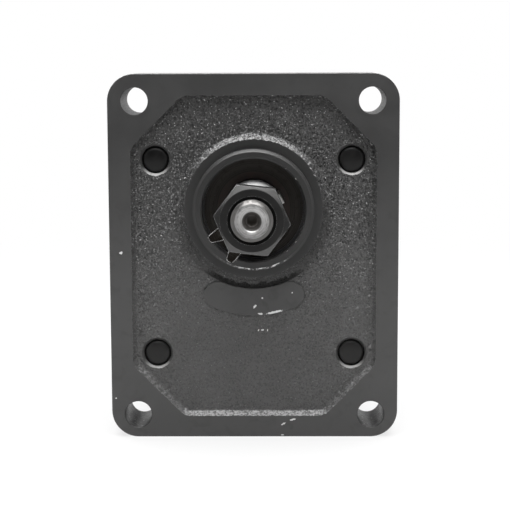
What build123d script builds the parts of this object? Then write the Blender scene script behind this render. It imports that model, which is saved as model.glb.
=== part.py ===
"""External gear pump with a rectangular four-hole cast flange and a tapered drive shaft.

Frame: the origin is the centre of the pilot on the mounting face, +X points to the right and
+Z up when the shaft end is looked at, and the shaft points towards -Y. All lengths are in mm.
"""
from build123d import *
import math
import os

# Mounting interface on the front of the flange
pilot_diameter = 36.5
pilot_height = 5.0
pilot_chamfer = 0.8
hole_spacing_x = 71.5
hole_spacing_z = 96.1
top_hole_height = 32.5
mounting_hole_diameter = 8.2
mounting_hole_chamfer = 0.15
spotface_diameter = 16.0
spotface_depth = 0.4

# Flange casting
flange_width = 87.8
flange_height = 111.3
flange_thickness = 21.0
flange_corner_radius = 8.2
flange_front_edge_radius = 0.25
flange_rear_edge_radius = 0.6
panel_half_width = 37.2
panel_half_height = 49.1
panel_corner_cut = 16.2
panel_corner_radius = 4.5
panel_depth = 2.0
panel_wall_draft = 1.2
boss_face_diameter = 42.0
boss_wall_draft = 1.7
boss_edge_radius = 1.2
pad_inner_radius = 24.6
pad_outer_radius = 33.0
pad_half_angle = 22.5
pad_height = 0.5

# Stepped bore for the shaft seal
mouth_diameter = 31.1
mouth_chamfer = 0.4
mouth_depth = 6.0
seal_bore_diameter = 30.0
seal_width = 7.0
ring_groove_diameter = 31.4
ring_thickness = 1.2
ring_to_mouth = 1.0
ring_axial_play = 0.1
seal_pocket_spare = 1.0
shaft_passage_diameter = 20.0

# Gears and journals
gear_teeth = 12
centre_distance = 30.0
pressure_angle = 25.0
gear_addendum = 2.3
gear_dedendum = 2.7
gear_backlash = 0.1
gear_width = 20.0
journal_diameter = 18.0
journal_end_clearance = 0.5
journal_chamfer = 0.8
tip_clearance = 0.12
side_clearance = 0.05
bush_clearance = 0.03
bush_wall = 1.5
block_length = 19.95
block_clearance = 0.04

# Drive end of the shaft
seal_land_diameter = 17.0
seal_land_length = 12.0
taper_length = 22.0
taper_ratio = 8.0
thread_diameter = 12.0
thread_end = 35.5
thread_chamfer = 1.0
undercut_diameter = 10.4
undercut_width = 2.0
centre_hole_diameter = 5.6
centre_drill_diameter = 3.2
centre_hole_depth = 8.0

# Woodruff key
key_width = 3.0
key_height = 6.5
key_circle_diameter = 16.0
key_protrusion = 2.1
key_from_face = 11.0
key_angle = 30.0

# Nut and tab washer
nut_across_flats = 19.0
nut_height = 6.5
nut_chamfer = 0.45
nut_setback = 2.0
nut_turn = -6.5
nut_countersink_diameter = 13.8
washer_diameter = 17.8
washer_thickness = 1.0
washer_bore_clearance = 0.15
washer_ear_root_width = 4.9
washer_ear_tip_width = 2.1
washer_ear_angles = (206.5, 242.0)
washer_first_ear_reach = 13.8
washer_second_ear_reach = 14.2

# Pump body
bolt_spacing_x = 59.5
bolt_spacing_z = 59.5
bolt_corner_radius = 7.3
body_wall = 8.6
inlet_diameter = 20.0
inlet_bolt_circle = 40.0
outlet_diameter = 15.0
outlet_bolt_circle = 35.0
port_depth = 14.0
port_step = 1.5
port_chamfer = 0.6
port_thread_diameter = 5.0
port_thread_depth = 12.0

# Rear cover
cover_thickness = 19.0
cover_edge_radius = 2.5
cover_boss_radius = 19.0
cover_boss_height = 3.0
cover_boss_edge_radius = 1.5
screw_seat_diameter = 16.5
screw_seat_depth = 0.8

# Body screws, washers and dowels
screw_diameter = 8.0
screw_hole_clearance = 0.2
screw_head_diameter = 13.0
screw_head_height = 8.0
screw_socket = 6.0
screw_socket_depth = 4.0
screw_tip_setback = 0.2
screw_tip_diameter = 7.2
screw_tip_length = 0.9
screw_tip_dome = 0.35
tip_relief_diameter = 8.4
tip_relief_depth = 2.5
tip_recess_diameter = 9.6
tip_recess_depth = 0.7
screw_washer_diameter = 14.8
screw_washer_thickness = 1.6
dowel_diameter = 6.0
dowel_depth = 6.0
dowel_clearance = 0.02

# Static seals
body_seal_width = 2.4
body_seal_depth = 1.6
body_seal_from_bore = 1.9
pressure_seal_radius = 13.9
pressure_seal_width = 2.2
pressure_seal_depth = 1.8
backup_ring_depth = 1.2
static_seal_clearance = 0.05

# Shaft seal section
case_wall = 1.0
case_web_radius = 11.0
lip_clearance = 0.12
lip_rise = 2.6
garter_wire_radius = 0.7

# Axial stations, counted from the mounting face
body_front = flange_thickness
body_length = 2 * block_length + gear_width + 2 * side_clearance
body_rear = body_front + body_length
cover_rear = body_rear + cover_thickness
gear_front = body_front + block_length + side_clearance
gear_rear = gear_front + gear_width
gear_middle = (gear_front + gear_rear) / 2
ring_front = mouth_depth - pilot_height + ring_to_mouth
seal_front = ring_front + ring_thickness + ring_axial_play
seal_rear = seal_front + seal_width
seal_pocket_rear = seal_rear + seal_pocket_spare
seal_land_rear = seal_land_length
taper_end = -taper_length
shaft_end = -thread_end
nut_front = shaft_end + nut_setback
nut_rear = nut_front + nut_height
washer_rear = nut_rear + washer_thickness

# Places and radii worked out from the driving dimensions
middle_z = -centre_distance / 2
top_hole_z = top_hole_height
bottom_hole_z = top_hole_height - hole_spacing_z
pitch_radius = centre_distance / 2
tip_radius = pitch_radius + gear_addendum
root_radius = pitch_radius - gear_dedendum
chamber_radius = tip_radius + tip_clearance
block_radius = chamber_radius - block_clearance
bush_inner_radius = journal_diameter / 2 + bush_clearance
bush_outer_radius = bush_inner_radius + bush_wall
body_half_width = bolt_spacing_x / 2 + bolt_corner_radius
seal_land_radius = seal_land_diameter / 2
taper_small_radius = seal_land_radius - taper_length / taper_ratio / 2
screw_hole_diameter = screw_diameter + 2 * screw_hole_clearance
pressure_groove_depth = pressure_seal_depth + backup_ring_depth
shaft_axes = [0.0, -centre_distance]


def face_at(y, sketch):
    """Put a sketch drawn in X and Z onto the plane at distance y behind the mounting face."""
    return Plane.XZ.offset(-y) * sketch


def slab(sketch, y_from, y_to):
    """A sketch drawn in X and Z, made solid between two distances behind the mounting face."""
    return extrude(face_at(y_from, sketch), amount=y_from - y_to)


def disc(radius, y_from, y_to, x=0.0, z=0.0):
    """A round bar along Y."""
    return slab(Pos(x, z) * Circle(radius), y_from, y_to)


def turned(points, z=0.0):
    """A turned piece: a closed outline of (y, radius) points spun round the Y axis at height z."""
    outline = make_face(Plane.YZ * Polyline(*points, close=True))
    return Pos(0, 0, z) * revolve(outline, Axis.Y)


def both_sides(x, z_values):
    """Places at plus and minus x for each height."""
    return [(side * x, z) for z in z_values for side in (-1, 1)]


mounting_hole_places = both_sides(hole_spacing_x / 2, [top_hole_z, bottom_hole_z])
bolt_places = both_sides(
    bolt_spacing_x / 2,
    [middle_z + bolt_spacing_z / 2, middle_z - bolt_spacing_z / 2],
)
dowel_places = both_sides(bolt_spacing_x / 2, [middle_z])


def holes(places, radius, y_from, y_to):
    """Round holes along Y at a list of (x, z) places."""
    return Part() + [disc(radius, y_from, y_to, x, z) for x, z in places]


def stadium(radius):
    """The outline round both shafts: two round ends joined by straight sides."""
    ends = Circle(radius) + Pos(0, -centre_distance) * Circle(radius)
    return ends + Pos(0, middle_z) * Rectangle(2 * radius, centre_distance)


def figure_eight(radius):
    """Two circles that overlap at the waist, one round each shaft."""
    return Circle(radius) + Pos(0, -centre_distance) * Circle(radius)


def body_outline():
    """The outline shared by the body and the rear cover: bolt corners and arched ends."""
    arch_radius = chamber_radius + body_wall
    circles = [Pos(x, z) * Circle(bolt_corner_radius) for x, z in bolt_places]
    circles += [Pos(0, z) * Circle(arch_radius) for z in shaft_axes]
    return make_hull([circle.edge() for circle in circles])


def panel_outline(inset):
    """The eight-sided outline of the rough panel, drawn in by an inset."""
    width = panel_half_width - inset
    height = panel_half_height - inset
    cut = panel_corner_cut - inset * (2 - math.sqrt(2))
    corners = [
        (width, height - cut), (width - cut, height), (cut - width, height), (-width, height - cut),
        (-width, cut - height), (cut - width, -height), (width - cut, -height), (width, cut - height),
    ]
    outline = Pos(0, middle_z) * make_face(Polyline(*corners, close=True))
    return fillet(outline.vertices(), radius=panel_corner_radius)


def smooth_pad():
    """The smooth kidney-shaped pad under the boss."""
    middle_radius = (pad_inner_radius + pad_outer_radius) / 2
    end_radius = (pad_outer_radius - pad_inner_radius) / 2
    half = math.radians(pad_half_angle)
    reach = 2 * pad_outer_radius
    wedge = make_face(Polyline(
        (0, 0), (-reach * math.sin(half), -reach * math.cos(half)),
        (reach * math.sin(half), -reach * math.cos(half)), close=True,
    ))
    pad = (Circle(pad_outer_radius) - Circle(pad_inner_radius)) & wedge
    for side in (-1, 1):
        x = side * middle_radius * math.sin(half)
        pad += Pos(x, -middle_radius * math.cos(half)) * Circle(end_radius)
    return slab(pad, panel_depth - pad_height, panel_depth + pad_height)


def boss():
    """The raised round face that carries the pilot, with a drafted and rounded cast wall."""
    face_radius = boss_face_diameter / 2
    base_radius = face_radius + boss_wall_draft
    frustum = turned([(0, 0), (0, face_radius), (panel_depth, base_radius), (panel_depth, 0)])
    front_edge = frustum.edges().group_by(Axis.Y)[0]
    rounded = fillet(front_edge, radius=boss_edge_radius)
    return rounded + disc(base_radius, panel_depth, flange_thickness / 2)


def pilot():
    """The round register that centres the pump in its mating bore."""
    radius = pilot_diameter / 2
    return turned([
        (-pilot_height, 0), (-pilot_height, radius - pilot_chamfer),
        (pilot_chamfer - pilot_height, radius), (panel_depth, radius), (panel_depth, 0),
    ])


def seal_bore():
    """The stepped hole: mouth, seal bore, retaining ring groove and shaft passage."""
    mouth = mouth_diameter / 2
    mouth_rear = mouth_depth - pilot_height
    bore = seal_bore_diameter / 2
    groove = ring_groove_diameter / 2
    passage = shaft_passage_diameter / 2
    groove_rear = ring_front + ring_thickness + ring_axial_play
    return turned([
        (-pilot_height - 1, 0), (-pilot_height - 1, mouth + mouth_chamfer + 1),
        (mouth_chamfer - pilot_height, mouth), (mouth_rear, mouth), (mouth_rear, bore),
        (ring_front, bore), (ring_front, groove), (groove_rear, groove), (groove_rear, bore),
        (seal_pocket_rear, bore), (seal_pocket_rear, passage),
        (flange_thickness + 1, passage), (flange_thickness + 1, 0),
    ])


def chamfered_hole(radius, edge, y_from, y_to, x, z):
    """A through hole whose two rims are chamfered."""
    hole = turned([
        (y_from - edge, 0), (y_from - edge, radius + 2 * edge), (y_from + edge, radius),
        (y_to - edge, radius), (y_to + edge, radius + 2 * edge), (y_to + edge, 0),
    ])
    return Pos(x, 0, z) * hole


def tip_recess():
    """The countersunk and relieved end of a screw hole, where the screw tip shows."""
    relief = tip_relief_diameter / 2
    flare = tip_recess_diameter / 2 - relief
    cone_front = panel_depth - tip_recess_depth
    cone_rear = panel_depth + tip_recess_depth
    relief_rear = cone_rear + tip_relief_depth
    return turned([
        (cone_front, 0), (cone_front, relief + 2 * flare), (cone_rear, relief),
        (relief_rear, relief), (relief_rear, 0),
    ])


def make_front_flange():
    """The rectangular cast flange with its recessed panel, boss, pilot and bores."""
    blank = Pos(0, middle_z) * RectangleRounded(flange_width, flange_height, flange_corner_radius)
    plate = slab(blank, 0, flange_thickness)
    plate = fillet(plate.edges().group_by(Axis.Y)[-1], radius=flange_rear_edge_radius)
    plate = fillet(plate.edges().group_by(Axis.Y)[0], radius=flange_front_edge_radius)
    rim = face_at(0, panel_outline(0))
    floor = face_at(panel_depth, panel_outline(panel_wall_draft))
    plate -= loft([rim, floor])
    plate += boss() + pilot() + smooth_pad()
    plate -= seal_bore()
    spotface_front = flange_thickness - spotface_depth
    for x, z in mounting_hole_places:
        plate -= chamfered_hole(
            mounting_hole_diameter / 2, mounting_hole_chamfer, 0, spotface_front, x, z
        )
    plate -= holes(
        mounting_hole_places, spotface_diameter / 2, spotface_front, flange_thickness + 1
    )
    for x, z in bolt_places:
        plate -= Pos(x, 0, z) * tip_recess()
    plate -= holes(bolt_places, screw_diameter / 2, 0, flange_thickness + 1)
    dowel_hole = dowel_diameter / 2 + dowel_clearance
    plate -= holes(dowel_places, dowel_hole, flange_thickness - dowel_depth, flange_thickness + 1)
    return plate


def port(side, diameter, bolt_circle):
    """A flanged port: a bore, a narrower throat into the gear chamber and four tapped holes."""
    radius = diameter / 2
    on_base = (Align.CENTER, Align.CENTER, Align.MIN)
    throat = Cylinder(radius - port_step, body_half_width, align=on_base)
    bore = Pos(0, 0, body_half_width - port_depth) * Cylinder(radius, port_depth, align=on_base)
    lead_in = Pos(0, 0, body_half_width - port_chamfer) * Cone(
        radius, radius + 2 * port_chamfer, 2 * port_chamfer, align=on_base
    )
    cut = throat + bore + lead_in
    for corner in range(4):
        angle = math.radians(45 + 90 * corner)
        reach = bolt_circle / 2
        tapped = Cylinder(port_thread_diameter / 2, port_thread_depth + 1, align=on_base)
        place = Pos(
            reach * math.cos(angle), reach * math.sin(angle), body_half_width - port_thread_depth
        )
        cut += place * tapped
    return Pos(0, gear_middle, middle_z) * Rot(0, side * 90, 0) * cut


def body_seal_groove(y_from, y_to, clearance):
    """The closed track of a body seal, or of its groove when the clearance is zero."""
    inner = chamber_radius + body_seal_from_bore + clearance
    outer = chamber_radius + body_seal_from_bore + body_seal_width - clearance
    return slab(stadium(outer) - stadium(inner), y_from, y_to)


def make_pump_body():
    """The middle housing with the figure-eight gear chamber and the two side ports."""
    body = slab(body_outline(), body_front, body_rear)
    body -= slab(figure_eight(chamber_radius), body_front - 1, body_rear + 1)
    body -= port(-1, inlet_diameter, inlet_bolt_circle)
    body -= port(1, outlet_diameter, outlet_bolt_circle)
    body -= holes(bolt_places, screw_hole_diameter / 2, body_front - 1, body_rear + 1)
    body -= body_seal_groove(body_front - 1, body_front + body_seal_depth, 0)
    body -= body_seal_groove(body_rear - body_seal_depth, body_rear + 1, 0)
    dowel_hole = dowel_diameter / 2 + dowel_clearance
    body -= holes(dowel_places, dowel_hole, body_front - 1, body_front + dowel_depth)
    body -= holes(dowel_places, dowel_hole, body_rear - dowel_depth, body_rear + 1)
    return body


def make_rear_cover():
    """The cast end cover with rounded edges, a raised middle and four screw seats."""
    cover = slab(body_outline(), body_rear, cover_rear)
    cover = fillet(cover.edges().group_by(Axis.Y)[-1], radius=cover_edge_radius)
    raised = slab(stadium(cover_boss_radius), cover_rear - 1, cover_rear + cover_boss_height)
    raised = fillet(raised.edges().group_by(Axis.Y)[-1], radius=cover_boss_edge_radius)
    cover += raised
    seat_front = cover_rear - screw_seat_depth
    seat_rear = cover_rear + cover_boss_height + 1
    cover -= holes(bolt_places, screw_seat_diameter / 2, seat_front, seat_rear)
    cover -= holes(bolt_places, screw_hole_diameter / 2, body_rear - 1, seat_rear)
    dowel_hole = dowel_diameter / 2 + dowel_clearance
    cover -= holes(dowel_places, dowel_hole, body_rear - 1, body_rear + dowel_depth)
    return cover


def pressure_seal_track(clearance):
    """The three-shaped track on the outlet side of a bearing block."""
    half = pressure_seal_width / 2 - clearance
    inner = pressure_seal_radius - half
    outer = pressure_seal_radius + half
    track = Sketch()
    for z in shaft_axes:
        track += Pos(0, z) * (Circle(outer) - Circle(inner))
    outlet_side = Pos(block_radius, middle_z) * Rectangle(
        2 * block_radius, 2 * centre_distance + 2 * block_radius
    )
    track = track & outlet_side
    link_height = centre_distance - 2 * pressure_seal_radius + pressure_seal_width
    link_height -= 2 * clearance
    track += Pos(half, middle_z) * Rectangle(2 * half, link_height)
    return track


def make_bearing_block(y_from, outer_face, inward):
    """A figure-eight bearing block with two bush bores and a pressure seal groove."""
    block = slab(figure_eight(block_radius), y_from, y_from + block_length)
    for z in shaft_axes:
        block -= disc(bush_outer_radius, y_from - 1, y_from + block_length + 1, 0, z)
    groove_floor = outer_face + inward * pressure_groove_depth
    low = min(outer_face - inward, groove_floor)
    high = max(outer_face - inward, groove_floor)
    return block - slab(pressure_seal_track(0), low, high)


def make_bush(y_from, z):
    """A plain split-free bearing bush, pressed into a block."""
    ring = Circle(bush_outer_radius) - Circle(bush_inner_radius)
    return slab(Pos(0, z) * ring, y_from, y_from + block_length)


def make_pressure_seal(outer_face, inward):
    """The rubber seal in the bottom of the block's groove."""
    near = outer_face + inward * backup_ring_depth
    far = outer_face + inward * pressure_groove_depth
    return slab(pressure_seal_track(static_seal_clearance), min(near, far), max(near, far))


def make_backup_ring(outer_face, inward):
    """The stiff ring that stops the pressure seal from creeping into the gap."""
    far = outer_face + inward * backup_ring_depth
    low = min(outer_face, far)
    high = max(outer_face, far)
    return slab(pressure_seal_track(static_seal_clearance), low, high)


def involute(angle):
    """The involute function of a pressure angle in radians."""
    return math.tan(angle) - angle


def polar(radius, angle):
    """A point in X and Z at an angle from +X."""
    return (radius * math.cos(angle), radius * math.sin(angle))


def gear_outline(first_tooth):
    """The outline of an involute gear whose first tooth points at an angle from +X."""
    working_angle = math.radians(pressure_angle)
    base_radius = pitch_radius * math.cos(working_angle)
    half_pitch = math.pi / gear_teeth
    half_tooth = half_pitch / 2 - gear_backlash / 4 / pitch_radius
    base_half = half_tooth + involute(working_angle)
    flank_steps = 6
    flank = []
    for step in range(flank_steps + 1):
        radius = base_radius + (tip_radius - base_radius) * step / flank_steps
        roll = math.acos(min(1.0, base_radius / radius))
        flank.append((radius, base_half - involute(roll)))
    edges = []
    for tooth in range(gear_teeth):
        middle = math.radians(first_tooth) + 2 * half_pitch * tooth
        rising = [polar(r, middle - a) for r, a in flank]
        falling = [polar(r, middle + a) for r, a in reversed(flank)]
        foot_in = polar(root_radius, middle - base_half)
        foot_out = polar(root_radius, middle + base_half)
        next_foot = polar(root_radius, middle + 2 * half_pitch - base_half)
        root_middle = polar(root_radius, middle + half_pitch)
        edges.append(Line(foot_in, rising[0]))
        edges.append(Spline(*rising))
        edges.append(ThreePointArc(rising[-1], polar(tip_radius, middle), falling[0]))
        edges.append(Spline(*falling))
        edges.append(Line(falling[-1], foot_out))
        edges.append(ThreePointArc(foot_out, root_middle, next_foot))
    return make_face(Wire(edges))


def journal_end(y_end, inward, radius, z):
    """The chamfered end of a journal, as a ring to cut away."""
    edge = journal_chamfer
    return turned([
        (y_end - inward, radius - edge - 1), (y_end - inward, radius + 1),
        (y_end + inward * edge, radius + 1), (y_end + inward * edge, radius),
        (y_end, radius - edge), (y_end, radius - edge - 1),
    ], z)


def make_driven_gear():
    """The lower gear with its two journals, one piece of steel."""
    z = shaft_axes[1]
    radius = journal_diameter / 2
    front = body_front + journal_end_clearance
    rear = body_rear - journal_end_clearance
    first_tooth = 90.0 + 180.0 / gear_teeth
    gear = slab(Pos(0, z) * gear_outline(first_tooth), gear_front, gear_rear)
    gear += disc(radius, front, rear, 0, z)
    gear -= journal_end(front, 1, radius, z)
    gear -= journal_end(rear, -1, radius, z)
    return gear


def centre_hole():
    """The centre-drilled hole in the drive end."""
    mouth = centre_hole_diameter / 2
    drill = centre_drill_diameter / 2
    cone_length = (mouth - drill) * math.sqrt(3)
    return turned([
        (shaft_end - 1, 0), (shaft_end - 1, mouth), (shaft_end, mouth),
        (shaft_end + cone_length, drill), (shaft_end + centre_hole_depth, drill),
        (shaft_end + centre_hole_depth + drill, 0),
    ])


def key_disc(radius, width):
    """The round blank of the key, lying in the plane of the shaft axis and the key direction."""
    crown = taper_radius(-key_from_face) + key_protrusion
    blank_centre = crown + key_circle_diameter / 2 - key_height
    blank = extrude(Plane.XY * Circle(radius), amount=width / 2, both=True)
    return Rot(0, -key_angle, 0) * Pos(blank_centre, -key_from_face, 0) * blank


def taper_radius(y):
    """The radius of the taper at a distance in front of the mounting face."""
    return seal_land_radius + y / taper_ratio / 2


def make_woodruff_key():
    """The half-round key in the taper."""
    crown = taper_radius(-key_from_face) + key_protrusion
    blank = key_disc(key_circle_diameter / 2, key_width)
    half_size = key_circle_diameter
    keep = Box(half_size, 2 * half_size, 2 * half_size, align=(Align.MAX, Align.CENTER, Align.CENTER))
    keep = Rot(0, -key_angle, 0) * Pos(crown, -key_from_face, 0) * keep
    return blank & keep


def make_drive_shaft():
    """The upper gear and shaft in one piece, with the seal land, taper and thread."""
    journal = journal_diameter / 2
    thread = thread_diameter / 2
    undercut = undercut_diameter / 2
    undercut_rear = taper_end
    undercut_front = taper_end - undercut_width
    rear = body_rear - journal_end_clearance
    shaft = turned([
        (shaft_end, 0), (shaft_end, thread - thread_chamfer),
        (shaft_end + thread_chamfer, thread), (undercut_front, thread),
        (undercut_front, undercut), (undercut_rear, undercut),
        (undercut_rear, taper_small_radius), (0, seal_land_radius),
        (seal_land_rear, seal_land_radius), (seal_land_rear, journal),
        (rear - journal_chamfer, journal), (rear, journal - journal_chamfer), (rear, 0),
    ])
    shaft += slab(gear_outline(90.0), gear_front, gear_rear)
    shaft -= centre_hole()
    return shaft - key_disc(key_circle_diameter / 2, key_width)


def make_shaft_nut():
    """The hexagon nut on the shaft thread."""
    corner_radius = nut_across_flats / math.sqrt(3)
    hexagon = Rot(0, 0, nut_turn) * RegularPolygon(corner_radius, 6)
    nut = slab(hexagon, nut_front, nut_rear)
    face_radius = nut_across_flats / 2 - nut_chamfer
    slope = (corner_radius - face_radius) * math.tan(math.radians(30))
    envelope = turned([
        (nut_front, 0), (nut_front, face_radius), (nut_front + slope, corner_radius),
        (nut_rear - slope, corner_radius), (nut_rear, face_radius), (nut_rear, 0),
    ])
    nut = nut & envelope
    bore = thread_diameter / 2
    sink = nut_countersink_diameter / 2
    depth = sink - bore
    return nut - turned([
        (nut_front - 1, 0), (nut_front - 1, sink), (nut_front, sink), (nut_front + depth, bore),
        (nut_rear - depth, bore), (nut_rear, sink), (nut_rear + 1, sink), (nut_rear + 1, 0),
    ])


def make_tab_washer():
    """The thin lock washer with two ears of unequal reach, behind the nut."""
    blank = Circle(washer_diameter / 2)
    root = washer_diameter / 2 - washer_thickness
    root_half = washer_ear_root_width / 2
    tip_half = washer_ear_tip_width / 2
    for angle, reach in zip(washer_ear_angles, [washer_first_ear_reach, washer_second_ear_reach]):
        ear = make_face(Polyline(
            (root, root_half), (reach, tip_half), (reach, -tip_half), (root, -root_half), close=True
        ))
        outer_corners = ear.vertices().sort_by(Axis.X)[-2:]
        ear = fillet(outer_corners, radius=washer_ear_tip_width / 3)
        blank += Rot(0, 0, angle) * ear
    blank -= Circle(thread_diameter / 2 + washer_bore_clearance)
    return slab(blank, nut_rear, washer_rear)


def make_seal_case():
    """The steel case of the shaft seal, pressed into the seal bore."""
    outer = seal_bore_diameter / 2
    return turned([
        (seal_front, outer), (seal_rear, outer), (seal_rear, outer - case_wall),
        (seal_front + case_wall, outer - case_wall),
        (seal_front + case_wall, case_web_radius), (seal_front, case_web_radius),
    ])


def make_seal_lip():
    """The rubber part of the shaft seal: a dust lip in front and the sealing lip behind."""
    edge = seal_land_radius + lip_clearance
    waist = edge + lip_rise / 3
    back = edge + lip_rise
    front = seal_front
    width = seal_width
    return turned([
        (front, case_web_radius), (front, edge + 0.1 * lip_rise), (front + width / 8, edge),
        (front + width / 4, waist), (front + width / 2, waist), (front + 0.63 * width, edge),
        (front + 0.75 * width, waist), (front + 0.75 * width, back),
        (front + 0.45 * width, back), (front + 0.3 * width, back - 0.3 * lip_rise),
        (front + case_wall, back - 0.3 * lip_rise), (front + case_wall, case_web_radius),
    ])


def make_garter_spring():
    """The ring spring that loads the sealing lip."""
    ring_radius = seal_land_radius + lip_clearance + lip_rise + garter_wire_radius
    ring_radius += static_seal_clearance
    centre_y = seal_front + 0.6 * seal_width
    wire = Plane.YZ * Pos(centre_y, ring_radius) * Circle(garter_wire_radius)
    return revolve(wire, Axis.Y)


def make_retaining_ring():
    """The inside retaining ring, widest at the top, with two eyes beside the bottom gap."""
    outer = ring_groove_diameter / 2 - static_seal_clearance
    ring_width = (outer - case_web_radius) * 0.65
    inner = outer - ring_width
    blank = Circle(outer) - Pos(0, -ring_width / 6) * Circle(inner)
    gap_half = ring_width / 2
    eye_radius = ring_width * 0.7
    eye_reach = outer - 1.5 * eye_radius
    blank -= Pos(0, -outer) * Rectangle(2 * gap_half, 2 * ring_width)
    for side in (-1, 1):
        eye_x = side * (gap_half + eye_radius)
        eye_z = -math.sqrt(eye_reach ** 2 - eye_x ** 2)
        blank += Pos(eye_x, eye_z) * Circle(eye_radius)
        blank -= Pos(eye_x, eye_z) * Circle(eye_radius / 2.4)
    return slab(blank, ring_front, ring_front + ring_thickness)


def body_screw(x, z):
    """A socket head screw from the rear cover to the front of the flange, with a domed tip."""
    radius = screw_diameter / 2
    tip_radius_small = screw_tip_diameter / 2
    tip = panel_depth + screw_tip_setback
    under_head = cover_rear - screw_seat_depth + screw_washer_thickness
    head_rear = under_head + screw_head_height
    head = screw_head_diameter / 2
    edge = screw_diameter / 10
    screw = turned([
        (tip, 0), (tip + screw_tip_dome, tip_radius_small),
        (tip + screw_tip_dome + screw_tip_length, radius), (under_head, radius),
        (under_head, head), (head_rear - edge, head), (head_rear, head - edge), (head_rear, 0),
    ])
    socket = RegularPolygon(screw_socket / math.sqrt(3), 6)
    screw -= slab(socket, head_rear - screw_socket_depth, head_rear + 1)
    return Pos(x, 0, z) * screw


def screw_washer(x, z):
    """A plain washer under a screw head."""
    ring = Circle(screw_washer_diameter / 2) - Circle(screw_hole_diameter / 2)
    front = cover_rear - screw_seat_depth
    return slab(Pos(x, z) * ring, front, front + screw_washer_thickness)


def dowel(x, z, joint_y):
    """A dowel pin across a joint face, half in each piece."""
    radius = dowel_diameter / 2
    edge = dowel_diameter / 12
    reach = dowel_depth - edge
    pin = turned([
        (joint_y - reach, 0), (joint_y - reach, radius - edge),
        (joint_y - reach + edge, radius), (joint_y + reach - edge, radius),
        (joint_y + reach, radius - edge), (joint_y + reach, 0),
    ])
    return Pos(x, 0, z) * pin


def make_parts():
    """Every separate piece of the pump by its node name."""
    rear_block_front = body_rear - block_length
    pieces = {
        "front_flange": make_front_flange(),
        "pump_body": make_pump_body(),
        "rear_cover": make_rear_cover(),
        "front_bearing_block": make_bearing_block(body_front, body_front, 1),
        "rear_bearing_block": make_bearing_block(rear_block_front, body_rear, -1),
        "front_pressure_seal": make_pressure_seal(body_front, 1),
        "rear_pressure_seal": make_pressure_seal(body_rear, -1),
        "front_backup_ring": make_backup_ring(body_front, 1),
        "rear_backup_ring": make_backup_ring(body_rear, -1),
        "front_body_seal": body_seal_groove(
            body_front, body_front + body_seal_depth, static_seal_clearance
        ),
        "rear_body_seal": body_seal_groove(
            body_rear - body_seal_depth, body_rear, static_seal_clearance
        ),
        "drive_gear_shaft": make_drive_shaft(),
        "driven_gear_shaft": make_driven_gear(),
        "woodruff_key": make_woodruff_key(),
        "shaft_nut": make_shaft_nut(),
        "tab_washer": make_tab_washer(),
        "shaft_seal_case": make_seal_case(),
        "shaft_seal_lip": make_seal_lip(),
        "seal_garter_spring": make_garter_spring(),
        "seal_retaining_ring": make_retaining_ring(),
        "body_screws": Compound(children=[body_screw(x, z) for x, z in bolt_places]),
        "screw_washers": Compound(children=[screw_washer(x, z) for x, z in bolt_places]),
        "front_dowels": Compound(children=[dowel(x, z, body_front) for x, z in dowel_places]),
        "rear_dowels": Compound(children=[dowel(x, z, body_rear) for x, z in dowel_places]),
    }
    for shaft, z in (("drive", shaft_axes[0]), ("driven", shaft_axes[1])):
        pieces[f"front_{shaft}_bush"] = make_bush(body_front, z)
        pieces[f"rear_{shaft}_bush"] = make_bush(rear_block_front, z)
    return pieces


os.makedirs("parts", exist_ok=True)
for node, shape in make_parts().items():
    export_step(shape, f"parts/{node}.step")
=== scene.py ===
# %% [markdown]
# # A hydraulic gear pump, dressed for a photograph
# The pump is seen from its shaft end: a rough sand-cast flange under dark grey paint, a turned pilot
# ring, and a tapered shaft that carries a black nut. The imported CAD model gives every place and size.
# Here each visible piece is modelled again with the wear, casting skin and threads of the real one.

import math

import bpy
from mathutils import Matrix, Vector


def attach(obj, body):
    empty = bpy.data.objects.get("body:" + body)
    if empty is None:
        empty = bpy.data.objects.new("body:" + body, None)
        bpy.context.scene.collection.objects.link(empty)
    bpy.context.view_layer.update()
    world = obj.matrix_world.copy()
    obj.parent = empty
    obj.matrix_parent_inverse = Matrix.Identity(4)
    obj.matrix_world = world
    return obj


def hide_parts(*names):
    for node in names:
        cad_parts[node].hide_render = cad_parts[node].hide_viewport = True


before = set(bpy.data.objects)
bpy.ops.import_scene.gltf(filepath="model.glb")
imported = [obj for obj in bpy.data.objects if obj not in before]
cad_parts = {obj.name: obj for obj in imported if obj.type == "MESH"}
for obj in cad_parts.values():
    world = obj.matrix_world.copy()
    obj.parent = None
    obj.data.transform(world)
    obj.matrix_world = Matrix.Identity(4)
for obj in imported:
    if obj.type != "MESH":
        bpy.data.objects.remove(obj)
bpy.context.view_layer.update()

# %% [markdown]
# ## Working in millimetres
# Blender counts in metres and a pump is drawn in millimetres, so each length is multiplied by MM once,
# at the place where it goes into an operator. An operator acts on whatever is selected, which is why
# everything is deselected before each new piece.

# %% Lengths and selection
MM = 0.001


def mm(*lengths):
    """Millimetres as a vector in metres."""
    return Vector([length * MM for length in lengths])


def select_only(*pieces):
    """Leaves edit mode and selects these pieces alone."""
    if bpy.context.object and bpy.context.object.mode != "OBJECT":
        bpy.ops.object.mode_set(mode="OBJECT")
    bpy.ops.object.select_all(action="DESELECT")
    for piece in pieces:
        piece.select_set(True)
    if pieces:
        bpy.context.view_layer.objects.active = pieces[0]


def edit_all(piece, kind="VERT"):
    """Opens a piece in edit mode with all of it selected."""
    select_only(piece)
    bpy.ops.object.mode_set(mode="EDIT")
    bpy.ops.mesh.select_mode(type=kind)
    bpy.ops.mesh.select_all(action="SELECT")


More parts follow.
